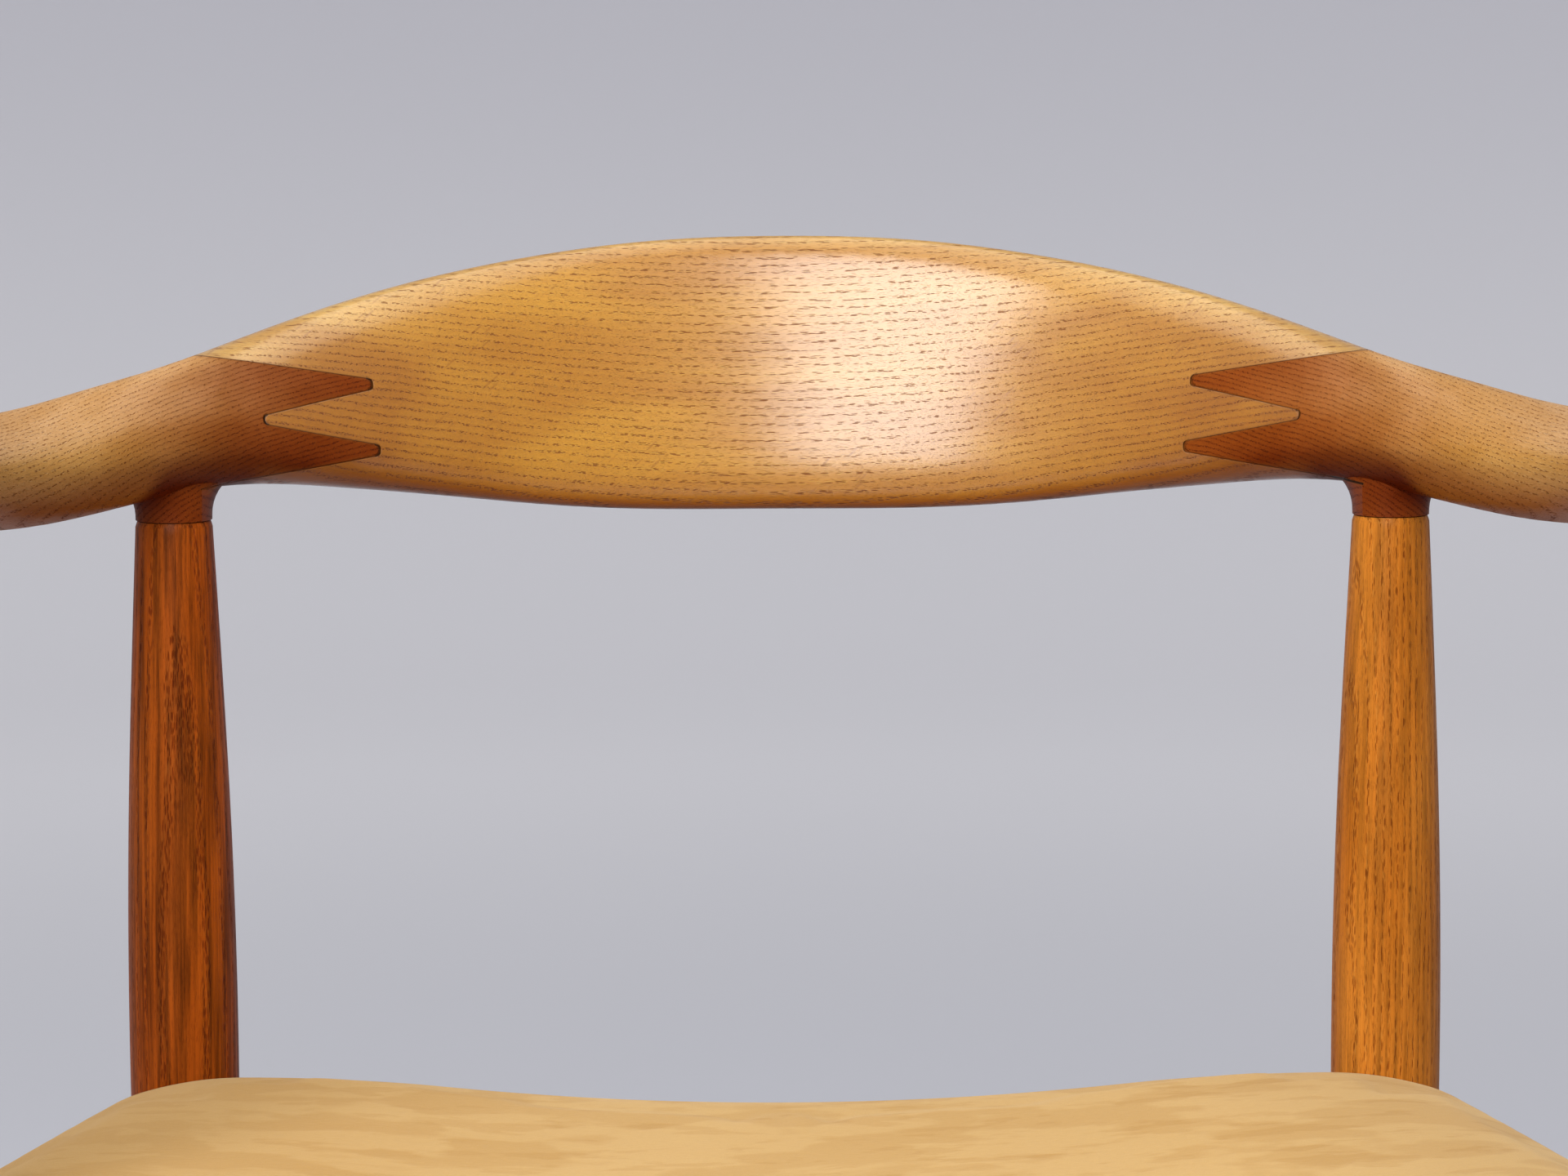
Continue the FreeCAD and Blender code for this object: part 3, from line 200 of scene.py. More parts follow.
def face_outwards(mesh):
    """Merges doubled points and turns every face outwards."""
    work = bmesh.new()
    work.from_mesh(mesh)
    bmesh.ops.remove_doubles(work, verts=work.verts, dist=1e-6)
    bmesh.ops.recalc_face_normals(work, faces=work.faces)
    work.to_mesh(mesh)
    work.free()
    mesh.update()


def finished(piece):
    """Applies a piece's modifiers and leaves a plain mesh."""
    graph = bpy.context.evaluated_depsgraph_get()
    mesh = bpy.data.meshes.new_from_object(piece.evaluated_get(graph))
    piece.modifiers.clear()
    piece.data = mesh
    return piece


def cut_away(piece, cutter):
    """Cuts another object out of a piece and removes that object."""
    cut = piece.modifiers.new("cut", "BOOLEAN")
    cut.operation = "DIFFERENCE"
    cut.solver = "EXACT"
    cut.object = cutter
    finished(piece)
    bpy.data.objects.remove(cutter)


def smooth_values(stations, values, places):
    """A natural cubic line through values at stations, read at places."""
    x, y = np.array(stations, float), np.array(values, float)
    n = len(x)
    step = np.diff(x)
    system = np.eye(n)
    right = np.zeros(n)
    for i in range(1, n - 1):
        system[i, i - 1 : i + 2] = step[i - 1], 2 * (step[i - 1] + step[i]), step[i]
        right[i] = 6 * ((y[i + 1] - y[i]) / step[i] - (y[i] - y[i - 1]) / step[i - 1])
    bend = np.linalg.solve(system, right)
    found = []
    for place in places:
        i = int(np.clip(np.searchsorted(x, place) - 1, 0, n - 2))
        a, b = (x[i + 1] - place) / step[i], (place - x[i]) / step[i]
        curve = ((a**3 - a) * bend[i] + (b**3 - b) * bend[i + 1]) * step[i] ** 2 / 6
        found.append(a * y[i] + b * y[i + 1] + curve)
    return found


# Nodes


def feed(tree, socket, value):
    """Links a node's output to a socket, or sets the socket's value. A colour gets a full alpha."""
    if isinstance(value, Tap):
        value = value.socket
    if isinstance(value, bpy.types.NodeSocket):
        tree.links.new(value, socket)
    elif socket.type == "RGBA":
        socket.default_value = (*value, 1.0)
    else:
        socket.default_value = value


def add_node(tree, kind, settings, sockets):
    """Adds a node: its settings first, then its sockets' values or links. A list is several links."""
    node = tree.nodes.new(kind)
    for name, value in settings.items():
        setattr(node, name, value)
    for name, value in sockets.items():
        for each in value if isinstance(value, list) else [value]:
            feed(tree, node.inputs[name], each)
    return node


class Tap:
    """A node's output that takes part in arithmetic on numbers."""

    def __init__(self, paint, socket):
        self.paint = paint
        self.socket = socket

    def maths(self, operation, *values):
        return self.paint.node("ShaderNodeMath", {"operation": operation}, dict(enumerate(values)))

    def __add__(self, other):
        return self.maths("ADD", self, other)

    def __sub__(self, other):
        return self.maths("SUBTRACT", self, other)

    def __rsub__(self, other):
        return self.maths("SUBTRACT", other, self)

    def __mul__(self, other):
        return self.maths("MULTIPLY", self, other)

    def __truediv__(self, other):
        return self.maths("DIVIDE", self, other)

    def __abs__(self):
        return self.maths("ABSOLUTE", self)

    def __mod__(self, other):
        return self.maths("FLOORED_MODULO", self, other)

    def atleast(self, other):
        return self.maths("MAXIMUM", self, other)

    def atmost(self, other):
        return self.maths("MINIMUM", self, other)

    def root(self):
        return self.maths("SQRT", self)

    def sine(self):
        return self.maths("SINE", self)

    __radd__ = __add__
    __rmul__ = __mul__


class Paint:
    """A material in the making, round one Principled shader."""

    def __init__(self, name):
        self.material = bpy.data.materials.new(name)
        self.material.use_nodes = True
        self.tree = self.material.node_tree
        self.shader = next(n for n in self.tree.nodes if n.type == "BSDF_PRINCIPLED")
        place = self.tree.nodes.new("ShaderNodeTexCoord")
        self.place = Tap(self, place.outputs["Object"])
        self.normal = Tap(self, place.outputs["Normal"])

    def node(self, kind, settings, sockets, output=0):
        return Tap(self, add_node(self.tree, kind, settings, sockets).outputs[output])

    def dot(self, first, second):
        return self.node("ShaderNodeVectorMath", {"operation": "DOT_PRODUCT"}, {0: first, 1: second}, 1)

    def along(self, direction, origin=(0, 0, 0)):
        """Millimetres along a direction from an origin, given in millimetres."""
        unit = Vector(direction).normalized()
        return self.dot(self.place, unit) * 1000.0 - unit.dot(Vector(origin))

    def axes(self):
        """Millimetres along x, y and z."""
        return self.along(X_AXIS), self.along(Y_AXIS), self.along(Z_AXIS)

    def turned(self, direction):
        """How far the surface faces a direction, from -1 to 1."""
        return self.dot(self.normal, direction)

    def vector(self, x, y, z):
        return self.node("ShaderNodeCombineXYZ", {}, {"X": x, "Y": y, "Z": z})

    def noise(self, vector, scale=1.0, detail=2.0, roughness=0.5):
        sockets = {"Vector": vector, "Scale": scale, "Detail": detail, "Roughness": roughness}
        return self.node("ShaderNodeTexNoise", {}, sockets)

    def cells(self, vector, scale=1.0):
        """Distance from the nearest cell's middle."""
        return self.node("ShaderNodeTexVoronoi", {}, {"Vector": vector, "Scale": scale}, "Distance")

    def step(self, value, low, high):
        """From 0 at low to 1 at high, smoothly. Low may be the larger."""
        ease = {"interpolation_type": "SMOOTHSTEP"}
        if low > high:
            return 1 - self.step(value, high, low)
        return self.node("ShaderNodeMapRange", ease, {"Value": value, "From Min": low, "From Max": high})

    def mix(self, share, first, second, how="MIX"):
        settings = {"data_type": "RGBA", "blend_type": how}
        return self.node("ShaderNodeMix", settings, {0: share, 6: first, 7: second}, 2)

    def dyed(self, tone, share, tint):
        """The tone multiplied by a tint, as far as the share says."""
        return self.mix(share, tone, tint, "MULTIPLY")

    def bump(self, height, distance, strength):
        sockets = {"Height": height, "Distance": distance, "Strength": strength}
        return self.node("ShaderNodeBump", {}, sockets)

    def finish(self, **sockets):
        """Sets the shader's sockets, named with underscores, and gives the material."""
        for name, value in sockets.items():
            feed(self.tree, self.shader.inputs[name.replace("_", " ")], value)
        return self.material


def tinted(colour, red, green, blue):
    """A colour with each part of it made stronger or weaker."""
    return (colour[0] * red, colour[1] * green, colour[2] * blue)


# Finishes


# The horseshoe from above, in millimetres: half its span, and its bend's depth and middle. Then the joint.
HALF_SPAN, DEPTH, MIDDLE_Y = 288.0, 246.2, -8.7
JOINT_X, JOINT_LEVEL, JOINT_LENGTH = 164.5, 689.8, 50.0
LEG_TURN = math.asin(LEG_LINES["back_leg"][1][0] / HALF_SPAN)
JOINT_TURN = math.asin(JOINT_X / HALF_SPAN)
BEND = math.pi / 2 * math.sqrt((HALF_SPAN**2 + DEPTH**2) / 2) * (1 - LEG_TURN / (math.pi / 2))
# The joint's sides along the joint and up from its middle, then its round ends: centre, radius and way.
JOINT_SIDES = [((48.5, 1.87), (2.1, 10.2)), ((2.1, 14.8), (75.0, 25.4))]
JOINT_ENDS = [((48.3, 0.0), 1.75, 1), ((2.1, 12.6), 2.15, -1)]


def joint_frame():
    """Origin and direction of the right finger joint, seen from above."""
    turn = JOINT_TURN + (LEG_TURN - JOINT_TURN) * JOINT_LENGTH / BEND / 2
    along = Vector((HALF_SPAN * math.cos(turn), -DEPTH * math.sin(turn)))
    origin = (HALF_SPAN * math.sin(JOINT_TURN), MIDDLE_Y + DEPTH * math.cos(JOINT_TURN))
    return origin, tuple(along.normalized())


def joint_distance(paint):
    """Millimetres from the finger joints' sides, from their round ends and from a crack at the right."""
    origin, along = joint_frame()
    across, back, height = paint.axes()
    t = (abs(across) - origin[0]) * along[0] + (back - origin[1]) * along[1]
    height = height - JOINT_LEVEL
    z = abs(height)
    nearest = None
    for (t0, z0), (t1, z1) in JOINT_SIDES:
        dt, dz = t1 - t0, z1 - z0
        share = ((t - t0) * dt + (z - z0) * dz) / (dt * dt + dz * dz)
        share = share.atleast(0.0).atmost(1.0)
        far_t, far_z = t - t0 - share * dt, z - z0 - share * dz
        away = (far_t * far_t + far_z * far_z).root()
        nearest = away if nearest is None else nearest.atmost(away)
    # The crack follows the lower half of the last side.
    shut = paint.step(across, 50.0, 0.0) + paint.step(t, 60.0, 50.0) + paint.step(height, -5.0, 5.0)
    crack = away + shut * 50.0
    ends = None
    for (t0, z0), radius, way in JOINT_ENDS:
        far_t, far_z = t - t0, z - z0
        away = abs((far_t * far_t + far_z * far_z).root() - radius)
        away = away + paint.step(far_t * way, 0.0, -0.4) * 50.0
        ends = away if ends is None else ends.atmost(away)
    return nearest, ends, crack


def collar_mask(paint):
    """1 on the collars round the legs' tops, 0 away from them."""
    x, y, z = paint.axes()
    near = 0.0
    for foot, top in LEG_LINES.values():
        across, back = abs(x) - top[0], y - top[1]
        near = paint.step((across * across + back * back).root(), *COLLAR_REACH) + near
    return paint.step(z, *COLLAR_LEVELS) * near


def pore_marks(paint, f, u, w, pore, band):
    """Coarse pores in the rings' bands with fine ones all over, and the painted glints beside the coarse
    ones.
    """

    def marks(shift):
        spots = paint.cells(paint.vector(f / PORE_LENGTH, u / pore + shift, w / pore))
        return paint.step(spots, 0.48, 0.26) * band

    coarse = marks(0.0)
    fine = paint.cells(paint.vector(f / FINE_PORE_LENGTH, u / FINE_PORE_WIDTH, w / FINE_PORE_WIDTH))
    pores = (coarse + paint.step(fine, 0.32, 0.2) * 0.34).atmost(1.0)
    return pores, (marks(0.6) - coarse).atleast(0.0)


def with_dents(paint, tone, tint):
    """Short slanting dents on a few places."""
    along, across = paint.along((0.72, 0, 0.7)), paint.along((0.7, 0, -0.72))
    dents = paint.cells(paint.vector(along / 17.0, across / 2.6, 0.0))
    few = paint.step(paint.noise(paint.place, scale=17.0, detail=1.0), 0.50, 0.62)
    return paint.mix(paint.step(dents, 0.22, 0.1) * few * 0.42, tone, tint)


def with_joints(paint, tone, height, tint):
    """The finger joints' lines: a tinted edge round a dark middle, sunk into the surface."""
    sides, ends, crack = joint_distance(paint)
    tone = paint.mix(paint.step(sides.atmost(ends), 1.4, 0.1) * 0.26, tone, tint)
    tight = paint.step(paint.along(X_AXIS), -5.0, 5.0)
    line = paint.step(sides, 0.22, 0.06) * 0.55 + paint.step(ends, 0.42, 0.14) * (1 - tight * 0.6)
    line = line + paint.step(crack, 0.6, 0.3)
    tone = paint.mix(line.atmost(0.93), tone, (0.020, 0.007, 0.002))
    return tone, height - paint.step(sides, 0.5, 0.0) - paint.step(ends, 0.9, 0.2) * 2.5


def oak(
    name,
    colour,
    fibre,
    centre,
    ring_way,
    reach,
    space,
    pore,
    depth=0.78,
    streaks=1.0,
    painted_light=(1.0, 0.12),
    end=None,
    collar=None,
    extras=(),
):
    """Oiled oak: rings round a pith line along the fibre, with bands of pores.

    The pith lies the reach behind the centre, against the ring way. The rings are the space apart.
    Pore is the pores' width and depth how dark they are. End and collar are the colours of the end grain
    and of the collars. The painted light pair gives the share of painted light on the upper faces, and how
    far a face must turn up to escape the painted shade. The extras are paler_palms, scratched, jointed and
    glossy.
    """
    paint = Paint(name)
    end = end or tinted(colour, 0.66, 0.50, 0.34)
    line_tint = tinted(colour, 0.42, 0.28, 0.16)
    dent_tint = tinted(colour, 0.5, 0.36, 0.25)
    # Millimetres along the fibre, along the ring way and across both, from the pith.
    f_way = Vector(fibre).normalized()
    u_way = (Vector(ring_way) - f_way * f_way.dot(Vector(ring_way))).normalized()
    pith = Vector(centre) - u_way * reach
    f, u, w = (paint.along(way, pith) for way in (f_way, u_way, f_way.cross(u_way)))
    wander = paint.noise(paint.vector(f / 150.0, u / 38.0, w / 38.0), detail=3.0) - 0.5
    ripple = paint.noise(paint.vector(f / 16.0, u / 5.0, w / 5.0)) - 0.5
    radius = (u * u + w * w).root() + wander * 6.0 + ripple * 0.7
    phase = (radius / space) % 1.0
    band = paint.step(phase, 0.46, 0.22) * paint.step(phase, 0.0, 0.05)
    pores, glints = pore_marks(paint, f, u, w, pore, band)
    streak = paint.noise(paint.vector(f / 34.0, u / 0.8, w / 0.8), detail=4.0, roughness=0.65) - 0.5
    broad = paint.noise(paint.vector(f / 75.0, u / 2.4, w / 2.4), detail=3.0)
    broad = paint.step(broad, 0.34, 0.66) - 0.5
    cloud = paint.noise(paint.vector(f / 120.0, u / 19.0, w / 19.0), detail=3.0)
    # The end grain takes more oil, and the arms turn paler towards their palms, with less dark end grain
    # there.
    cut = paint.step(abs(paint.turned(f_way)), 0.22, 0.72)
    if "paler_palms" in extras:
        y = paint.along(Y_AXIS)
        colour = paint.mix(paint.step(y, 195.0, 120.0), colour, tinted(colour, 1.02, 1.12, 1.3))
        cut = cut * (0.3 + 0.7 * paint.step(y, -120.0, 110.0))
    tone = paint.mix(cut, colour, end)
    neck = 0.0
    if collar:
        neck = collar_mask(paint)
        tone = paint.mix(neck, tone, collar)
    patch = paint.mix(paint.step(cloud, 0.3, 0.7), (1.10, 1.14, 1.30), (0.90, 0.82, 0.66))
    tone = paint.dyed(tone, 1.0, patch)
    tone = paint.dyed(tone, paint.step(phase, 0.3, 1.0) * 0.25, (0.84, 0.72, 0.52))
    tone = paint.dyed(tone, band * (0.22 + cut * 0.4), (0.74, 0.58, 0.40))
    grey = 1 + streak * (0.42 * streaks) + broad * (0.26 * (streaks - 1.0))
    tone = paint.dyed(tone, 1.0, paint.vector(grey, grey * 0.97 + 0.03, grey))
    # Painted light: the upper faces are painted lighter, as if lit from above, and the lower faces painted
    # darker, as shade.
    level = paint.turned(Z_AXIS)
    upper, lower = painted_light
    tone = paint.dyed(tone, paint.step(level, 0.25, 0.85) * upper, (1.06, 1.26, 2.9))
    tone = paint.dyed(tone, paint.step(level, lower, lower - 0.72), (0.62, 0.40, 0.22))
    # Painted highlight: the lips beside the coarse pores are lightened in the colour, as if catching the
    # light.
    tone = paint.dyed(tone, glints * 0.8, (1.14, 1.38, 2.0))
    tone = paint.dyed(tone, pores * depth, (0.44, 0.26, 0.13))
    height = streak * 0.16 - pores
    if "scratched" in extras:
        tone = with_dents(paint, tone, dent_tint)
    if "jointed" in extras:
        tone, height = with_joints(paint, tone, height, line_tint)
    glossy = "glossy" in extras
    return paint.finish(
        Base_Color=tone,
        Roughness=0.34 + cloud * 0.10 + pores * 0.25 + cut * 0.10 - streak * 0.12,
        Normal=paint.bump(height, 0.00026, 0.85),
        Specular_IOR_Level=0.3 if glossy else 0.06,
        Coat_Weight=(0.88 - neck * 0.88) * (1 - pores * 0.9) if glossy else 0.0,
        Coat_Roughness=0.22,
    )


def frame_beech():
    """Raw beech of the seat frame and its corner blocks."""
    paint = Paint("frame_beech")
    x, y, z = paint.axes()
    fleck = paint.cells(paint.vector(x / 5.0, y / 1.4, z))
    fleck = paint.step(fleck, 0.25, 0.12)
    cloud = paint.noise(paint.vector(x / 90.0, y / 14.0, z / 9.0), detail=4.0)
    tone = paint.mix(cloud, (0.62, 0.42, 0.25), (0.45, 0.27, 0.14))
    tone = paint.mix(fleck * 0.5, tone, (0.30, 0.16, 0.08))
    grain = paint.noise(paint.vector(x / 20.0, y / 0.8, z / 0.8), detail=3.0)
    return paint.finish(Base_Color=tone, Roughness=0.62 + fleck * 0.1, Normal=paint.bump(grain, 0.0003, 0.5))


def suede(colour):
    """Brushed suede: soft patches where the nap lies one way or the other, over a fine fuzz, with painted
    shade on its left side.
    """
    paint = Paint("seat_suede")
    x, y, z = paint.axes()
    lean = x + y * 0.25
    side = y - x * 0.12 + z * 0.8
    bend = paint.noise(paint.vector(x / 160.0, y / 110.0, z / 60.0), detail=2.0) - 0.5
    sweep = paint.noise(paint.vector(lean / 62.0 + bend, side / 46.0 + bend, 0.0), detail=3.0, roughness=0.5)
    stroke = paint.noise(paint.vector(lean / 38.0, side / 17.0 + bend * 2.0, 3.0), detail=4.0, roughness=0.55)
    brushed = paint.step(sweep, 0.475, 0.550)
    marked = paint.step(stroke, 0.535, 0.605)
    soft = paint.noise(paint.vector(lean / 120.0, side / 80.0, 7.0), detail=2.0)
    # The left side is also painted darker: painted shade where the nap turns its sheen away.
    nap_and_painted_shade = (brushed * 0.42 + marked * 0.34 + soft * 0.5 + paint.step(x, -40.0, -250.0) * 0.5).atmost(1.0)
    fuzz = paint.noise(paint.place, scale=1500.0, detail=3.0, roughness=0.7)
    mottle = paint.noise(paint.place, scale=420.0, detail=4.0, roughness=0.65)
    tone = paint.mix(nap_and_painted_shade, tinted(colour, 1.10, 1.12, 1.22), tinted(colour, 0.86, 0.76, 0.50))
    shade = 0.84 + fuzz * 0.18 + mottle * 0.14
    tone = paint.dyed(tone, 1.0, paint.vector(shade, shade, shade))
    height = fuzz * 0.7 + mottle * 0.8 - nap_and_painted_shade * 0.5
    return paint.finish(
        Base_Color=tone,
        Roughness=0.90 + nap_and_painted_shade * 0.08,
        Normal=paint.bump(height, 0.0006, 0.5),
        Sheen_Weight=0.3,
        Sheen_Roughness=0.45,
        Sheen_Tint=(0.9, 0.72, 0.5),
        Specular_IOR_Level=0.15,
    )


def woven(name, dark, light, pitch, gap=0.0, stripes=False):
    """Plain weave in the level plane. Its pitch is in millimetres."""
    paint = Paint(name)
    x, y = paint.along(X_AXIS), paint.along(Y_AXIS)
    wave_x, wave_y = ((way * (math.pi / pitch)).sine() for way in (x, y))
    over = wave_x * wave_y
    thread = paint.noise(paint.vector(x / 0.4, y / 0.4, 0.0), detail=3.0)
    slub = paint.noise(paint.vector(x / 45.0, y / 2.2, 0.0), detail=3.0)
    lift = paint.step(over, -0.7, 0.7)
    tone = paint.mix((lift * 0.5 + thread * 0.25 + slub * 0.35).atmost(1.0), dark, light)
    height = abs(over) * 0.8 + thread * 0.25
    if gap:
        # Painted shade: the gaps between the threads are painted near black.
        hole = paint.step(abs(wave_x).atleast(abs(wave_y)), gap, gap * 0.4)
        tone = paint.mix(hole, tone, tinted(dark, 0.2, 0.2, 0.2))
    if stripes:
        line = abs((x + y) % 12.5 - 6.25)
        tone = paint.mix(paint.step(line, 1.1, 0.7) * 0.7, tone, tinted(dark, 0.35, 0.2, 0.15))
    return paint.finish(Base_Color=tone, Roughness=0.9, Normal=paint.bump(height, pitch * 0.0004, 0.8))


def foam():
    """Pale moulded foam with fine open cells."""
    paint = Paint("seat_foam")
    cell = paint.cells(paint.place, scale=900.0)
    cloud = paint.noise(paint.place, scale=14.0, detail=3.0)
    tone = paint.mix(cloud, (0.72, 0.64, 0.42), (0.80, 0.74, 0.55))
    tone = paint.mix(paint.step(cell, 0.5, 0.9) * 0.5, tone, (0.42, 0.34, 0.18))
    return paint.finish(Base_Color=tone, Roughness=0.95, Normal=paint.bump(cell, 0.0006, 0.6))


def metal(name, colour, rough):
    """Zinced steel, a little dulled."""
    paint = Paint(name)
    dull = paint.noise(paint.place, scale=420.0, detail=4.0, roughness=0.6)
    tone = paint.mix(dull, tinted(colour, 0.72, 0.72, 0.74), tinted(colour, 1.1, 1.1, 1.08))
    scratch = paint.noise(paint.place, scale=2600.0, detail=2.0)
    return paint.finish(
        Base_Color=tone, Roughness=rough + dull * 0.25, Metallic=1.0, Normal=paint.bump(scratch, 0.00003, 0.5)
    )


def nylon():
    """Off-white moulded nylon, scuffed underneath."""
    paint = Paint("glide_nylon")
    grime = paint.noise(paint.place, scale=160.0, detail=4.0)
    low = paint.step(paint.along(Z_AXIS), 1.6, 0.1)
    tone = paint.mix(grime * 0.5, (0.62, 0.60, 0.54), (0.47, 0.44, 0.38))
    tone = paint.mix(low * grime, tone, (0.16, 0.14, 0.12))
    skin = paint.noise(paint.place, scale=2200.0, detail=2.0)
    return paint.finish(Base_Color=tone, Roughness=0.42 + grime * 0.2, Normal=paint.bump(skin, 0.00005, 0.6))


def backdrop(colour):
    """Matt pale paper: darker round the chair, and glowing with painted light at the back of the stage,
    dimmer higher up.
    """
    paint = Paint("backdrop_paper")
    x, y, z = paint.axes()
    radius = (x * x + y * y).root()
    # Painted light: the paper glows by itself, brighter low down and dimmer high up, at the back of the
    # stage.
    far = paint.step(radius, 1100.0, 5200.0) * (0.25 + 0.75 * paint.step(y, -400.0, 1500.0))
    high = paint.step(z, 150.0, 1900.0)
    grain = paint.noise(paint.place, scale=2.0, detail=3.0)
    tone = paint.mix(grain * 0.1, colour, tinted(colour, 1.1, 1.1, 1.1))
    tone = paint.mix(paint.step(radius, 1900.0, 700.0), tone, tinted(colour, 0.42, 0.41, 0.40))
    painted_glow = paint.mix(high, (0.24, 0.235, 0.235), (0.145, 0.140, 0.148))
    painted_glow = paint.mix(far, (0.0, 0.0, 0.0), painted_glow)
    return paint.finish(
        Base_Color=tone, Roughness=0.95, Specular_IOR_Level=0.1, Emission_Color=painted_glow, Emission_Strength=1.0
    )


# Turned legs


def leg_line(name):
    """Foot and shoulder of a leg, in millimetres."""
    foot, top = (Vector(p) for p in LEG_LINES[name.rsplit("_", 1)[0]])
    if name.endswith("left"):
        foot.x, top.x = -foot.x, -top.x
    return foot, top


class TreeMaker:
    """Builds a Geometry Nodes tree with named inputs."""

    def __init__(self, name, inputs):
        self.tree = bpy.data.node_groups.new(name, "GeometryNodeTree")
        self.sockets = {}
        for label, kind, value in inputs:
            socket = self.tree.interface.new_socket(name=label, in_out="INPUT", socket_type=kind)
            if value is not None:
                socket.default_value = value
            self.sockets[label] = socket.identifier
        self.tree.interface.new_socket(name="Geometry", in_out="OUTPUT", socket_type="NodeSocketGeometry")
        self.inputs = self.tree.nodes.new("NodeGroupInput")
        self.output = self.tree.nodes.new("NodeGroupOutput")

    def given(self, label):
        return self.inputs.outputs[label]

    def node(self, kind, settings, sockets, output=0):
        return add_node(self.tree, kind, settings, sockets).outputs[output]

    def maths(self, operation, first, second):
        return self.node("ShaderNodeMath", {"operation": operation}, {0: first, 1: second})

    def close(self, geometry, material):
        """Ends the tree in plain geometry with the material."""
        real = self.node("GeometryNodeRealizeInstances", {}, {"Geometry": geometry})
        done = self.node("GeometryNodeSetMaterial", {}, {"Geometry": real, "Material": material})
        self.tree.links.new(done, self.output.inputs[0])

    def grow(self, name, values, mesh=None):
        """A plain mesh object from this tree, with values for its named inputs."""
        piece = new_piece(name, mesh or bpy.data.meshes.new(name))
        modifier = piece.modifiers.new("form", "NODES")
        modifier.node_group = self.tree
        for label, value in values.items():
            modifier[self.sockets[label]] = value
        return finished(piece)


def leg_tree(sizes, material):
    """A turned leg: a round swept along its axis, as wide as its profile says."""
    inputs = [
        ("Geometry", "NodeSocketGeometry", None),
        ("Foot", "NodeSocketVector", (0, 0, 0)),
        ("Shoulder", "NodeSocketVector", (0, 0, 0.65)),
        ("Rings", "NodeSocketInt", sizes.leg_rings),
        ("Sides", "NodeSocketInt", sizes.leg_sides),
    ]
    maker = TreeMaker("turned_leg", inputs)
    ends = {"Start": maker.given("Foot"), "End": maker.given("Shoulder")}
    axis = maker.node("GeometryNodeCurvePrimitiveLine", {}, ends)
    axis = maker.node("GeometryNodeResampleCurve", {}, {"Curve": axis, "Count": maker.given("Rings")})
    factor = maker.node("GeometryNodeSplineParameter", {}, {})
    profile = add_node(maker.tree, "ShaderNodeFloatCurve", {}, {"Value": factor})
    shares = [i / 24 for i in range(25)]
    radii = smooth_values(LEG_SHARES, LEG_RADII, shares)
    curve = profile.mapping.curves[0]
    while len(curve.points) < len(shares):
        curve.points.new(0.5, 0.5)
    for point, share, radius in zip(curve.points, shares, radii):
        point.location = (share, radius / LEG_WIDEST)
    profile.mapping.update()
    width = maker.maths("MULTIPLY", profile.outputs[0], LEG_WIDEST * MM)
    axis = maker.node("GeometryNodeSetCurveRadius", {}, {"Curve": axis, "Radius": width})
    circle = {"Resolution": maker.given("Sides"), "Radius": 1.0}
    circle = maker.node("GeometryNodeCurvePrimitiveCircle", {}, circle)
    sockets = {"Curve": axis, "Profile Curve": circle, "Scale": width, "Fill Caps": True}
    tube = maker.node("GeometryNodeCurveToMesh", {}, sockets)
    maker.close(tube, material)
    return maker


# Seat


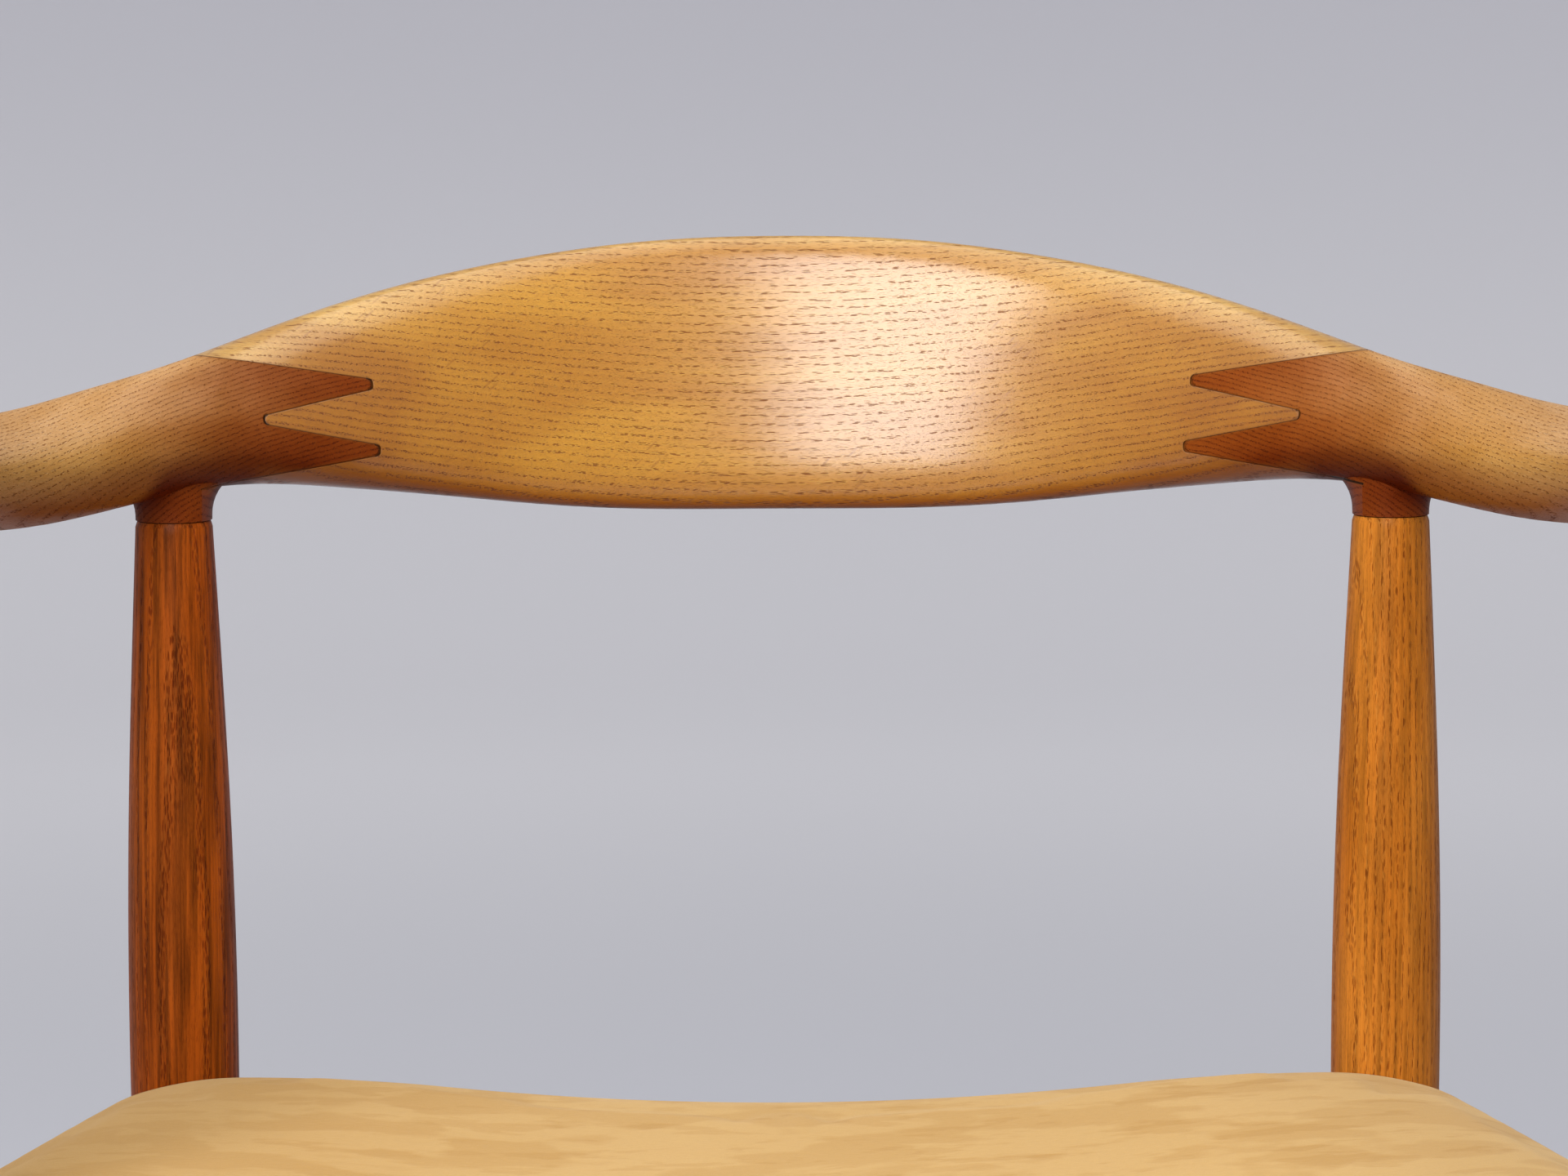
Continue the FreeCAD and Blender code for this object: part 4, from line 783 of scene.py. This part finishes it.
class SeatLevels:
    """Levels and widths of the seat from its back legs to its front legs, in millimetres.

    Crowns and dips are the highest level and the hollow's depth at the back and at the front.
    """

    crowns, dips = (444.6, 457.0), (10.2, 15.0)
    padding, rail_height, half_thickness = 21.5, 40.0, 12.0
    frame_hollow, belly_bow = 1.4, 7.0
    cover_out, cover_under = 5.5, 1.5
    edge_run, edge_fall = 62.0, 26.0
    side_radius, corner_radius = 118.0, 8.0
    crown_share, hollow_share = 0.82, 0.62

    def __init__(self):
        down = self.padding + self.rail_height / 2
        self.back_axis = self.axis_at("back_leg_right", self.crowns[0] - down)
        self.front_axis = self.axis_at("front_leg_right", self.crowns[1] - down)
        self.run = self.back_axis.y - self.front_axis.y
        turn = math.atan2(self.front_axis.x - self.back_axis.x, self.run)
        self.half_rail = self.half_thickness / math.cos(turn)
        self.back_face = self.back_axis.y + self.half_thickness
        self.front_face = self.front_axis.y - self.half_thickness

    @staticmethod
    def axis_at(name, z):
        foot, top = leg_line(name)
        return foot + (top - foot) * (z / top.z)

    def share(self, y):
        return (self.back_axis.y - y) / self.run

    def outer_x(self, y):
        return between(self.back_axis.x, self.front_axis.x, self.share(y)) + self.half_rail

    def inner_x(self, y):
        return self.outer_x(y) - 2 * self.half_rail

    def crown(self, y):
        return between(*self.crowns, self.share(y))

    def dip(self, y):
        return between(*self.dips, self.share(y))

    def top(self, x, y):
        """Level of the frame's saddle-shaped top."""
        hollow = max(0.0, 1 - (x / self.inner_x(y)) ** 2)
        return self.crown(y) - self.padding - self.dip(y) * self.frame_hollow * hollow

    def belly(self, x, y):
        """Level of the frame's bowed underside."""
        bow = 1 - (x / self.outer_x(y)) ** 2
        return self.crown(y) - (self.padding + self.rail_height) - self.belly_bow * bow

    def outline(self, y, drop):
        """Closed row round the seat at y, from its lower left corner over the top and back underneath."""
        half = self.outer_x(y) + self.cover_out
        level = self.crown(y) - drop
        crown_x = half * self.crown_share
        dip = self.dip(y)
        both = (crown_x * crown_x + dip * dip) / (2 * dip)
        hollow = both * self.hollow_share
        crown = both - hollow
        slope = math.asin(crown_x / both)
        side, corner = self.side_radius, self.corner_radius
        corner_x = half - corner
        fall = math.asin((corner_x - crown_x) / (side - corner))
        corner_z = level - side + (side - corner) * math.cos(fall)
        right = []
        for i in range(16):
            turn = slope * i / 16
            right.append((hollow * math.sin(turn), level - dip + hollow - hollow * math.cos(turn)))
        for i in range(12):
            turn = slope * (1 - i / 12)
            right.append((crown_x - crown * math.sin(turn), level - crown + crown * math.cos(turn)))
        for i in range(8):
            turn = fall * i / 8
            right.append((crown_x + side * math.sin(turn), level - side + side * math.cos(turn)))
        for i in range(7):
            turn = between(fall, math.pi / 2, i / 6)
            right.append((corner_x + corner * math.sin(turn), corner_z + corner * math.cos(turn)))
        low = self.belly(half, y) - self.cover_under
        for i in range(1, 6):
            right.append((half, between(corner_z, low, i / 5)))
        for i in range(1, 16):
            x = half * (1 - i / 15)
            right.append((x, self.belly(x, y) - self.cover_under))
        left = [(-x, z) for x, z in reversed(right[1:-1])]
        return [(x, y, z) for x, z in right + left]

    def places(self):
        """Rows from the front face to the back face: y and how far the top has rounded off."""
        rounding = []
        for i in range(15):
            turn = math.pi / 2 * (1 - i / 14)
            rounding.append((self.edge_run * (1 - math.sin(turn)), self.edge_fall * (1 - math.cos(turn))))
        front, back = self.front_face - self.cover_out, self.back_face + self.cover_out
        rows = [(front + run, drop) for run, drop in rounding]
        inner = [between(front + self.edge_run, back - self.edge_run, i / 25) for i in range(1, 25)]
        rows += [(y, 0.0) for y in inner]
        rows += [(back - run, drop) for run, drop in reversed(rounding)]
        return rows


def seat_block(name, seat):
    """The seat's whole form as one closed mesh."""
    rows = [seat.outline(y, drop) for y, drop in seat.places()]
    count = len(rows[0])
    points = [p for row in rows for p in row]
    faces = [tuple(range(count)), tuple(range(len(points) - count, len(points)))]
    for r in range(len(rows) - 1):
        for i in range(count):
            j = (i + 1) % count
            faces.append((r * count + i, r * count + j, (r + 1) * count + j, (r + 1) * count + i))
    mesh = mesh_from(name, points, faces)
    face_outwards(mesh)
    return new_piece(name, mesh)


def clear_legs(piece, seat):
    """Cuts the space round the four legs out of a piece, then the seat's corners beyond them."""
    rounds, corners = bmesh.new(), bmesh.new()
    radius = LEG_ROOM_RADIUS * MM
    wide = CORNER_ROOM
    bottom, top = LEG_ROOM_LEVELS
    for name in LEG_NAMES:
        axis = seat.back_axis if name.startswith("back") else seat.front_axis
        side = 1 if name.endswith("right") else -1
        way = 1 if name.startswith("back") else -1
        low, high = seat.axis_at(name, bottom), seat.axis_at(name, top)
        turn = (high - low).to_track_quat("Z", "Y").to_matrix().to_4x4()
        middle = Matrix.Translation((low + high) / 2 * MM) @ turn
        span = (high - low).length * MM
        bmesh.ops.create_cone(
            rounds, cap_ends=True, segments=96, radius1=radius, radius2=radius, depth=span, matrix=middle
        )
        corner = Vector((side * (axis.x + wide / 2), axis.y + way * wide / 2, (bottom + top) / 2)) * MM
        box = Matrix.Translation(corner) @ Matrix.Diagonal((wide * MM, wide * MM, (top - bottom) * MM, 1.0))
        bmesh.ops.create_cube(corners, size=1.0, matrix=box)
    for work in (rounds, corners):
        mesh = bpy.data.meshes.new("leg_room")
        work.to_mesh(mesh)
        work.free()
        cut_away(piece, new_piece("leg_room", mesh))


def inflate(piece, seat, swell):
    """Lets the suede swell outwards as a cloth over its padding. Its lower edge stays."""
    rest, outward = (vertex_rows(piece.data, what) for what in ("co", "normal"))
    held = piece.vertex_groups.new(name="held")
    for vertex in piece.data.vertices:
        depth = seat.crown(vertex.co.y / MM) - vertex.co.z / MM
        share = min(1.0, max(0.0, (depth - HELD_DEPTH) / HELD_EASE))
        held.add([vertex.index], share, "REPLACE")
    settings = piece.modifiers.new("cloth", "CLOTH").settings
    settings.use_pressure = True
    settings.uniform_pressure_force = 4.0
    settings.vertex_group_mass = held.name
    settings.quality = 6
    settings.tension_stiffness = settings.compression_stiffness = 25.0
    settings.bending_stiffness = 2.0
    settings.effector_weights.gravity = 0.0
    scene = bpy.context.scene
    for step in range(1, 21):
        scene.frame_set(step)
    graph = bpy.context.evaluated_depsgraph_get()
    swollen = bpy.data.meshes.new_from_object(piece.evaluated_get(graph))
    rise = ((vertex_rows(swollen, "co") - rest) * outward).sum(axis=1, keepdims=True)
    piece.modifiers.clear()
    piece.data.vertices.foreach_set("co", (rest + outward * np.clip(rise, 0.0, swell)).ravel())
    piece.data.update()
    bpy.data.meshes.remove(swollen)
    scene.frame_set(1)


def remeshed(piece, voxel):
    """Rebuilds a piece's mesh in even cells."""
    remesh = piece.modifiers.new("cells", "REMESH")
    remesh.mode = "VOXEL"
    remesh.voxel_size = voxel
    remesh.use_smooth_shade = True
    return finished(piece)


def smoothed(piece, factor, times):
    """Softens a piece's edges."""
    soften = piece.modifiers.new("soften", "SMOOTH")
    soften.factor = factor
    soften.iterations = times
    return finished(piece)


def open_underneath(piece, seat, lip):
    """Takes away the lower faces further than the lip from the seat's edges."""
    work = bmesh.new()
    work.from_mesh(piece.data)
    gone = []
    for face in work.faces:
        x, y, z = (c / MM for c in face.calc_center_median())
        inside = abs(x) < seat.outer_x(y) + seat.cover_out - lip
        inside = inside and seat.front_face - seat.cover_out + lip < y < seat.back_face + seat.cover_out - lip
        if inside and z < seat.belly(x, y) + 6.0 and face.normal.z < -0.3:
            gone.append(face)
    bmesh.ops.delete(work, geom=gone, context="FACES")
    work.to_mesh(piece.data)
    work.free()
    piece.data.update()


def stretched_sheet(name, node, material, seat, level):
    """A sheet cut round the legs, with its lower face at the level. Its upper area and the width it was cut
    to are worked out and left unused.
    """
    columns, rows = 90, 64
    front, back = seat.front_face + FRAME_MARGIN, seat.back_face - FRAME_MARGIN
    points = []
    for lift in (0.0, SHEET_THICKNESS):
        for r in range(rows + 1):
            y = between(front, back, r / rows)
            half = seat.outer_x(y) - FRAME_MARGIN
            for c in range(columns + 1):
                x = half * (2 * c / columns - 1)
                points.append((x, y, level(x, y) + lift))
    piece = new_piece(name, mesh_from(name, points, closed_grid(columns, rows)), material)
    face_outwards(piece.data)
    clear_legs(piece, seat)
    take_place(piece, node)
    work = bmesh.new()
    work.from_mesh(piece.data)
    area = sum(f.calc_area() for f in work.faces if f.normal.z > 0.3)
    work.free()
    width = 2 * (seat.outer_x(seat.front_face) - FRAME_MARGIN) * MM * SHEET_SPARE


def closed_grid(columns, rows):
    """Faces of two grids, one over the other, and of the walls between their edges."""
    wide = columns + 1
    upper = wide * (rows + 1)
    faces = []
    for r in range(rows):
        for c in range(columns):
            i = r * wide + c
            faces.append((i, i + wide, i + wide + 1, i + 1))
            faces.append((upper + i, upper + i + 1, upper + i + wide + 1, upper + i + wide))
    edge = [(c, c + 1) for c in range(columns)]
    edge += [(rows * wide + c + 1, rows * wide + c) for c in range(columns)]
    edge += [((r + 1) * wide, r * wide) for r in range(rows)]
    edge += [(r * wide + columns, (r + 1) * wide + columns) for r in range(rows)]
    faces += [(a, b, upper + b, upper + a) for a, b in edge]
    return faces


def strap_mesh(name, seat, middle, lengthwise):
    """A webbing strap with selvedges, laid over the frame."""
    columns, rows = 24, 110
    front, back = seat.front_face + FRAME_MARGIN, seat.back_face - FRAME_MARGIN
    lift = 0.0 if lengthwise else CROSS_STRAP_LIFT
    points = []
    for over in (0.0, STRAP_THICKNESS):
        for r in range(rows + 1):
            for c in range(columns + 1):
                across = middle + STRAP_WIDTH * (c / columns - 0.5)
                if lengthwise:
                    x, y = across, between(front, back, r / rows)
                else:
                    x, y = (seat.outer_x(across) - FRAME_MARGIN) * (2 * r / rows - 1), across
                edge = abs(2 * c / columns - 1) ** 12
                thin = SELVEDGE_THINNING * edge * (1 if over else -1)
                points.append((x, y, seat.top(x, y) + lift + over - thin))
    mesh = mesh_from(name, points, closed_grid(columns, rows))
    face_outwards(mesh)
    return mesh


# Fasteners


def fastener_places(node):
    """Middle of the head's outer face and the way in, for each fastener of a CAD node, in metres."""
    work = bmesh.new()
    work.from_mesh(node.data)
    bmesh.ops.remove_doubles(work, verts=work.verts, dist=1e-6)
    found, seen = [], set()
    for start in work.verts:
        if start in seen:
            continue
        group, waiting = [], [start]
        seen.add(start)
        while waiting:
            vertex = waiting.pop()
            group.append(vertex)
            for edge in vertex.link_edges:
                other = edge.other_vert(vertex)
                if other not in seen:
                    seen.add(other)
                    waiting.append(other)
        points = np.array([v.co for v in group], float)
        middle = points.mean(axis=0)
        way = np.linalg.svd(points - middle)[2][0]
        far = (points - middle) @ way
        width = np.linalg.norm(points - middle - far[:, None] * way, axis=1)
        if width[far > far.max() - HEAD_REACH].max() > width[far < far.min() + HEAD_REACH].max():
            way, far = -way, -far
        head = points[far < far.min() + HEAD_SKIN]
        found.append((head.mean(axis=0), way))
    work.free()
    return found


def places_mesh(name, places):
    """Points with the way that each fastener goes in as an attribute."""
    mesh = bpy.data.meshes.new(name)
    mesh.from_pydata([tuple(p) for p, way in places], [], [])
    ways = mesh.attributes.new("way", "FLOAT_VECTOR", "POINT")
    ways.data.foreach_set("vector", [float(c) for p, way in places for c in way])
    return mesh


def fastener_tree(name, material, sizes, head_height, countersunk):
    """Fasteners on points: a domed or countersunk head over a shank with a point."""
    inputs = [
        ("Geometry", "NodeSocketGeometry", None),
        ("Head radius", "NodeSocketFloat", sizes["head_radius"]),
        ("Head height", "NodeSocketFloat", head_height),
        ("Shank radius", "NodeSocketFloat", sizes["shank_radius"]),
        ("Length", "NodeSocketFloat", sizes["length"]),
    ]
    maker = TreeMaker(name, inputs)
    labels = ("Head radius", "Head height", "Shank radius", "Length")
    wide, height, shank, length = (maker.given(label) for label in labels)

    def cone(sides, outer, inner, depth):
        sockets = {"Vertices": sides, "Radius Bottom": outer, "Radius Top": inner, "Depth": depth}
        return maker.node("GeometryNodeMeshCone", {}, sockets)

    def pushed_in(geometry, depth):
        place = maker.node("ShaderNodeCombineXYZ", {}, {"Z": depth})
        return maker.node("GeometryNodeTransform", {}, {"Geometry": geometry, "Translation": place})

    if countersunk:
        head = cone(20, wide, shank, height)
    else:
        head = cone(20, maker.maths("MULTIPLY", wide, TACK_NARROWING), wide, height)
    shaft = pushed_in(cone(10, shank, shank, length), height)
    tip = pushed_in(cone(10, shank, 0.0, sizes["point"]), maker.maths("ADD", length, height))
    whole = maker.node("GeometryNodeJoinGeometry", {}, {"Geometry": [head, shaft, tip]})
    way = maker.node("GeometryNodeInputNamedAttribute", {"data_type": "FLOAT_VECTOR"}, {"Name": "way"})
    turn = maker.node("FunctionNodeAlignRotationToVector", {"axis": "Z"}, {"Vector": way})
    sockets = {"Points": maker.given("Geometry"), "Instance": whole, "Rotation": turn}
    maker.close(maker.node("GeometryNodeInstanceOnPoints", {}, sockets), material)
    return maker


# Operators


def dress(node, material):
    """Gives a CAD node's object its material."""
    coat(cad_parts[node].data, material)


class ARMCHAIR_OT_horseshoe(bpy.types.Operator):
    """Finishes the crest rail and the two arms in oiled oak"""

    bl_idname = "armchair.horseshoe"
    bl_label = "Crest rail and arms"

    def execute(self, context):
        colours = context.scene.chair_colours
        dark = tuple(colours.oak_arm_ends)
        crest = oak(
            "oak_crest",
            colours.oak_crest,
            fibre=(1, 0, 0.01),
            centre=(0, 205, 706),
            ring_way=(0, 0.34, 0.94),
            reach=300,
            space=3.1,
            pore=0.55,
            depth=0.85,
            collar=dark,
            extras=("jointed", "glossy", "scratched"),
        )
        dress("crest_rail", crest)
        # Painted light: the arms' end grain are lit and shaded copies of one colour; the right's, facing the
        # key light, is painted lighter.
        for side, sign, end in (("right", 1, tinted(dark, 1.3, 1.5, 1.3)), ("left", -1, dark)):
            arm = oak(
                f"oak_arm_{side}",
                colours.oak_arms,
                fibre=(sign * 0.1, -0.99, -0.03),
                centre=(sign * 260, 60, 680),
                ring_way=(sign * 0.57, 0.1, 0.82),
                reach=220,
                space=1.9,
                pore=0.48,
                painted_light=(0.3, 0.10),
                end=end,
                collar=dark,
                extras=("jointed", "paler_palms"),
            )
            dress(f"arm_{side}", arm)
        return {"FINISHED"}


class ARMCHAIR_OT_legs(bpy.types.Operator):
    """Turns the four legs from their axis and profile"""

    bl_idname = "armchair.legs"
    bl_label = "Turned legs"

    def execute(self, context):
        colours = context.scene.chair_colours
        sizes = context.scene.chair_sizes
        for name in LEG_NAMES:
            foot, top = leg_line(name)
            left = name.endswith("left")
            material = oak(
                f"oak_{name}",
                colours.oak_leg_dark if left else colours.oak_leg_light,
                fibre=(top - foot).normalized() + Vector((0.012, 0.02 if left else 0.0, 0.0)),
                centre=foot + (top - foot) * 0.7,
                ring_way=(0.25, -1.0, 0.0) if left else (1.0, 0.5, 0.0),
                reach=55.0 if left else 130.0,
                space=3.2 if left else 2.4,
                pore=0.5,
                streaks=3.8 if left else 2.4,
                painted_light=(0.0, -0.9),
            )
            maker = leg_tree(sizes, material)
            low = foot + (top - foot) * (FOOT_LEVEL / top.z)
            piece = maker.grow(f"turned_{name}", {"Foot": low * MM, "Shoulder": top * MM})
            self.shape_ends(piece.data, top * MM, top - foot, sizes.shoulder_ease)
            take_place(piece, name)
        return {"FINISHED"}

    def shape_ends(self, mesh, shoulder, axis, ease):
        """Cuts the foot level, rounds the shoulder's edge and shades the sides smooth."""
        face_outwards(mesh)
        axis = axis.normalized()
        for vertex in mesh.vertices:
            if vertex.co.z < (FOOT_LEVEL + FOOT_TRIM) * MM:
                vertex.co += axis * ((FOOT_LEVEL * MM - vertex.co.z) / axis.z)
            beyond = (vertex.co - shoulder).dot(axis)
            if beyond > -SHOULDER_TRIM * MM:
                out = vertex.co - shoulder - axis * beyond
                vertex.co -= out * min(1.0, ease / max(out.length, ease))
        for polygon in mesh.polygons:
            polygon.use_smooth = len(polygon.vertices) == 4
        mesh.update()


class ARMCHAIR_OT_seat_frame(bpy.types.Operator):
    """Finishes the rails and corner blocks in raw beech"""

    bl_idname = "armchair.seat_frame"
    bl_label = "Seat frame"

    def execute(self, context):
        beech = frame_beech()
        for rail in ("back_rail", "front_rail", "side_rail_left", "side_rail_right"):
            dress(rail, beech)
        for leg in LEG_NAMES:
            dress(f"corner_block_{leg.replace('_leg', '')}", beech)
        return {"FINISHED"}


class ARMCHAIR_OT_webbing(bpy.types.Operator):
    """Lays the webbing and the hessian over the frame"""

    bl_idname = "armchair.webbing"
    bl_label = "Webbing and hessian"

    def execute(self, context):
        seat = SeatLevels()
        cloth = woven("webbing_jute", (0.20, 0.115, 0.045), (0.42, 0.28, 0.13), 1.6, stripes=True)
        for i, share in enumerate(LENGTHWISE_SHARES, start=1):
            self.lay(f"lengthwise_strap_{i}", seat, seat.inner_x(seat.back_axis.y) * share, True, cloth)
        for i, share in enumerate(CROSS_SHARES, start=1):
            self.lay(f"cross_strap_{i}", seat, seat.back_axis.y - seat.run * share, False, cloth)
        hessian = woven("hessian_jute", (0.26, 0.17, 0.075), (0.50, 0.37, 0.20), 1.1, gap=0.35)

        def level(x, y):
            return seat.top(x, y) + HESSIAN_LIFT

        stretched_sheet("woven_hessian", "hessian_sheet", hessian, seat, level)
        return {"FINISHED"}

    def lay(self, node, seat, middle, lengthwise, cloth):
        piece = new_piece(f"woven_{node}", strap_mesh(node, seat, middle, lengthwise), cloth)
        take_place(piece, node)


class ARMCHAIR_OT_seat(bpy.types.Operator):
    """Makes the moulded foam and the suede drawn over it"""

    bl_idname = "armchair.seat"
    bl_label = "Foam and suede"

    def execute(self, context):
        sizes = context.scene.chair_sizes
        seat = SeatLevels()
        self.make_foam(sizes.seat_voxel)
        cover = remeshed(seat_block("suede_seat", seat), sizes.seat_voxel)
        smoothed(cover, 0.5, 3)
        inflate(cover, seat, sizes.seat_swell)
        clear_legs(cover, seat)
        open_underneath(cover, seat, COVER_LIP)
        wall = cover.modifiers.new("wall", "SOLIDIFY")
        wall.thickness = sizes.suede_thickness
        wall.offset = -1.0
        finished(cover)
        coat(cover.data, suede(context.scene.chair_colours.suede))
        for polygon in cover.data.polygons:
            polygon.use_smooth = True
            polygon.material_index = 0
        cover.data.set_sharp_from_angle(angle=math.radians(50))
        take_place(cover, "suede_cover")
        return {"FINISHED"}

    def make_foam(self, voxel):
        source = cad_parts["seat_padding"].data.copy()
        face_outwards(source)
        block = smoothed(remeshed(new_piece("moulded_foam", source), voxel), 0.5, 2)
        coat(block.data, foam())
        take_place(block, "seat_padding")


class ARMCHAIR_OT_dust_cover(bpy.types.Operator):
    """Closes the underside with a thin black cloth"""

    bl_idname = "armchair.dust_cover"
    bl_label = "Dust cover"

    def execute(self, context):
        seat = SeatLevels()

        def level(x, y):
            return seat.belly(x, y) - DUST_COVER_DROP

        black = woven("underside_cloth", (0.010, 0.010, 0.011), (0.035, 0.035, 0.038), 0.8)
        stretched_sheet("black_underside", "dust_cover", black, seat, level)
        return {"FINISHED"}


class ARMCHAIR_OT_fasteners(bpy.types.Operator):
    """Sets the tacks and screws, and finishes the nails and glides"""

    bl_idname = "armchair.fasteners"
    bl_label = "Tacks, screws and glides"

    def execute(self, context):
        dome = context.scene.chair_sizes.tack_dome
        blued = metal("blued_steel", (0.16, 0.17, 0.20), 0.32)
        bright = metal("bright_steel", (0.62, 0.60, 0.56), 0.28)
        tacks = fastener_tree("tack", blued, TACK, dome, countersunk=False)
        for node in ("strap_tacks", "cover_tacks", "dust_cover_tacks"):
            self.set_in(node, tacks, f"domed_{node}")
        screws = fastener_tree("screw", bright, SCREW, SCREW_HEAD, countersunk=True)
        self.set_in("corner_block_screws", screws, "driven_screws")
        dress("glide_nails", bright)
        white = nylon()
        for name in LEG_NAMES:
            leg, side = name.rsplit("_", 1)
            dress(f"{leg}_glide_{side}", white)
        return {"FINISHED"}

    def set_in(self, node, maker, name):
        places = fastener_places(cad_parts[node])
        piece = maker.grow(name, {}, places_mesh(name, places))
        face_outwards(piece.data)
        piece.data.set_sharp_from_angle(angle=math.radians(35))
        take_place(piece, node)


class ARMCHAIR_OT_studio(bpy.types.Operator):
    """Sets the backdrop, the lights and the camera"""

    bl_idname = "armchair.studio"
    bl_label = "Studio"

    def execute(self, context):
        lights = context.scene.studio_lights
        floor = new_piece("studio_floor", self.bowl(), backdrop(context.scene.chair_colours.stage))
        self.lamp("key_light", KEY_PLACE, KEY_TARGET, KEY_SIZE, lights.key)
        self.lamp("top_light", TOP_PLACE, TOP_TARGET, TOP_SIZE, lights.top)
        world = bpy.data.worlds.new("studio_surround")
        world.use_nodes = True
        sky = next(n for n in world.node_tree.nodes if n.type == "BACKGROUND")
        sky.inputs["Color"].default_value = (0.93, 0.95, 1.0, 1.0)
        sky.inputs["Strength"].default_value = lights.sky
        context.scene.world = world
        context.scene.view_settings.view_transform = "Standard"
        self.camera(context)
        return {"FINISHED"}

    def bowl(self):
        """A round floor that curves up into a wall."""
        flat, bend, sides = FLOOR_RINGS[-1], FLOOR_BEND, 96
        profile = [(radius, 0.0) for radius in FLOOR_RINGS]
        for i in range(1, 17):
            turn = math.pi / 2 * i / 16
            profile.append((flat + bend * math.sin(turn), bend - bend * math.cos(turn)))
        profile += [(flat + bend, level) for level in WALL_LEVELS]
        points = [(0.0, 0.0, 0.0)]
        for radius, height in profile:
            for i in range(sides):
                turn = 2 * math.pi * i / sides
                points.append((radius * math.sin(turn) * 1000, radius * math.cos(turn) * 1000, height * 1000))
        faces = [(0, 1 + (i + 1) % sides, 1 + i) for i in range(sides)]
        for r in range(len(profile) - 1):
            for i in range(sides):
                a, b = 1 + r * sides + i, 1 + r * sides + (i + 1) % sides
                faces.append((a, b, b + sides, a + sides))
        return mesh_from("studio_floor", points, faces)

    def lamp(self, name, place, target, size, power):
        data = bpy.data.lights.new(name, "AREA")
        data.shape = "RECTANGLE"
        data.size, data.size_y = size
        data.energy = power
        lamp = bpy.data.objects.new(name, data)
        lamp.location = place
        lamp.rotation_euler = (Vector(target) - Vector(place)).to_track_quat("-Z", "Y").to_euler()
        lamp.visible_camera = False
        bpy.context.scene.collection.objects.link(lamp)

    def camera(self, context):
        data = bpy.data.cameras.new("camera")
        data.lens = CAMERA_LENS
        data.sensor_width = 36.0
        data.clip_end = 50.0
        camera = bpy.data.objects.new("camera", data)
        turn = Matrix.Rotation(CAMERA_PITCH, 4, "X") @ Matrix.Rotation(CAMERA_ROLL, 4, "Z")
        camera.matrix_world = Matrix.Translation(CAMERA_PLACE) @ turn
        context.scene.collection.objects.link(camera)
        context.scene.camera = camera


class ARMCHAIR_PT_panel(bpy.types.Panel):
    """The steps of the chair, in order"""

    bl_idname = "ARMCHAIR_PT_panel"
    bl_label = "Armchair"
    bl_space_type = "VIEW_3D"
    bl_region_type = "UI"
    bl_category = "Armchair"

    def draw(self, context):
        for operator in STEPS:
            self.layout.operator(operator.bl_idname)


STEPS = (
    ARMCHAIR_OT_studio,
    ARMCHAIR_OT_horseshoe,
    ARMCHAIR_OT_legs,
    ARMCHAIR_OT_seat_frame,
    ARMCHAIR_OT_webbing,
    ARMCHAIR_OT_seat,
    ARMCHAIR_OT_dust_cover,
    ARMCHAIR_OT_fasteners,
)
GROUPS = {"chair_sizes": ChairSizes, "chair_colours": ChairColours, "studio_lights": StudioLights}


def register():
    for group in GROUPS.values():
        bpy.utils.register_class(group)
    for name, group in GROUPS.items():
        setattr(bpy.types.Scene, name, PointerProperty(type=group))
    for step in (*STEPS, ARMCHAIR_PT_panel):
        bpy.utils.register_class(step)


def unregister():
    for step in (*STEPS, ARMCHAIR_PT_panel):
        bpy.utils.unregister_class(step)
    for name, group in GROUPS.items():
        delattr(bpy.types.Scene, name)
        bpy.utils.unregister_class(group)


def main():
    """Runs every step in order."""
    register()
    for step in STEPS:
        group, name = step.bl_idname.split(".")
        getattr(getattr(bpy.ops, group), name)()


if __name__ == "__main__":
    main()
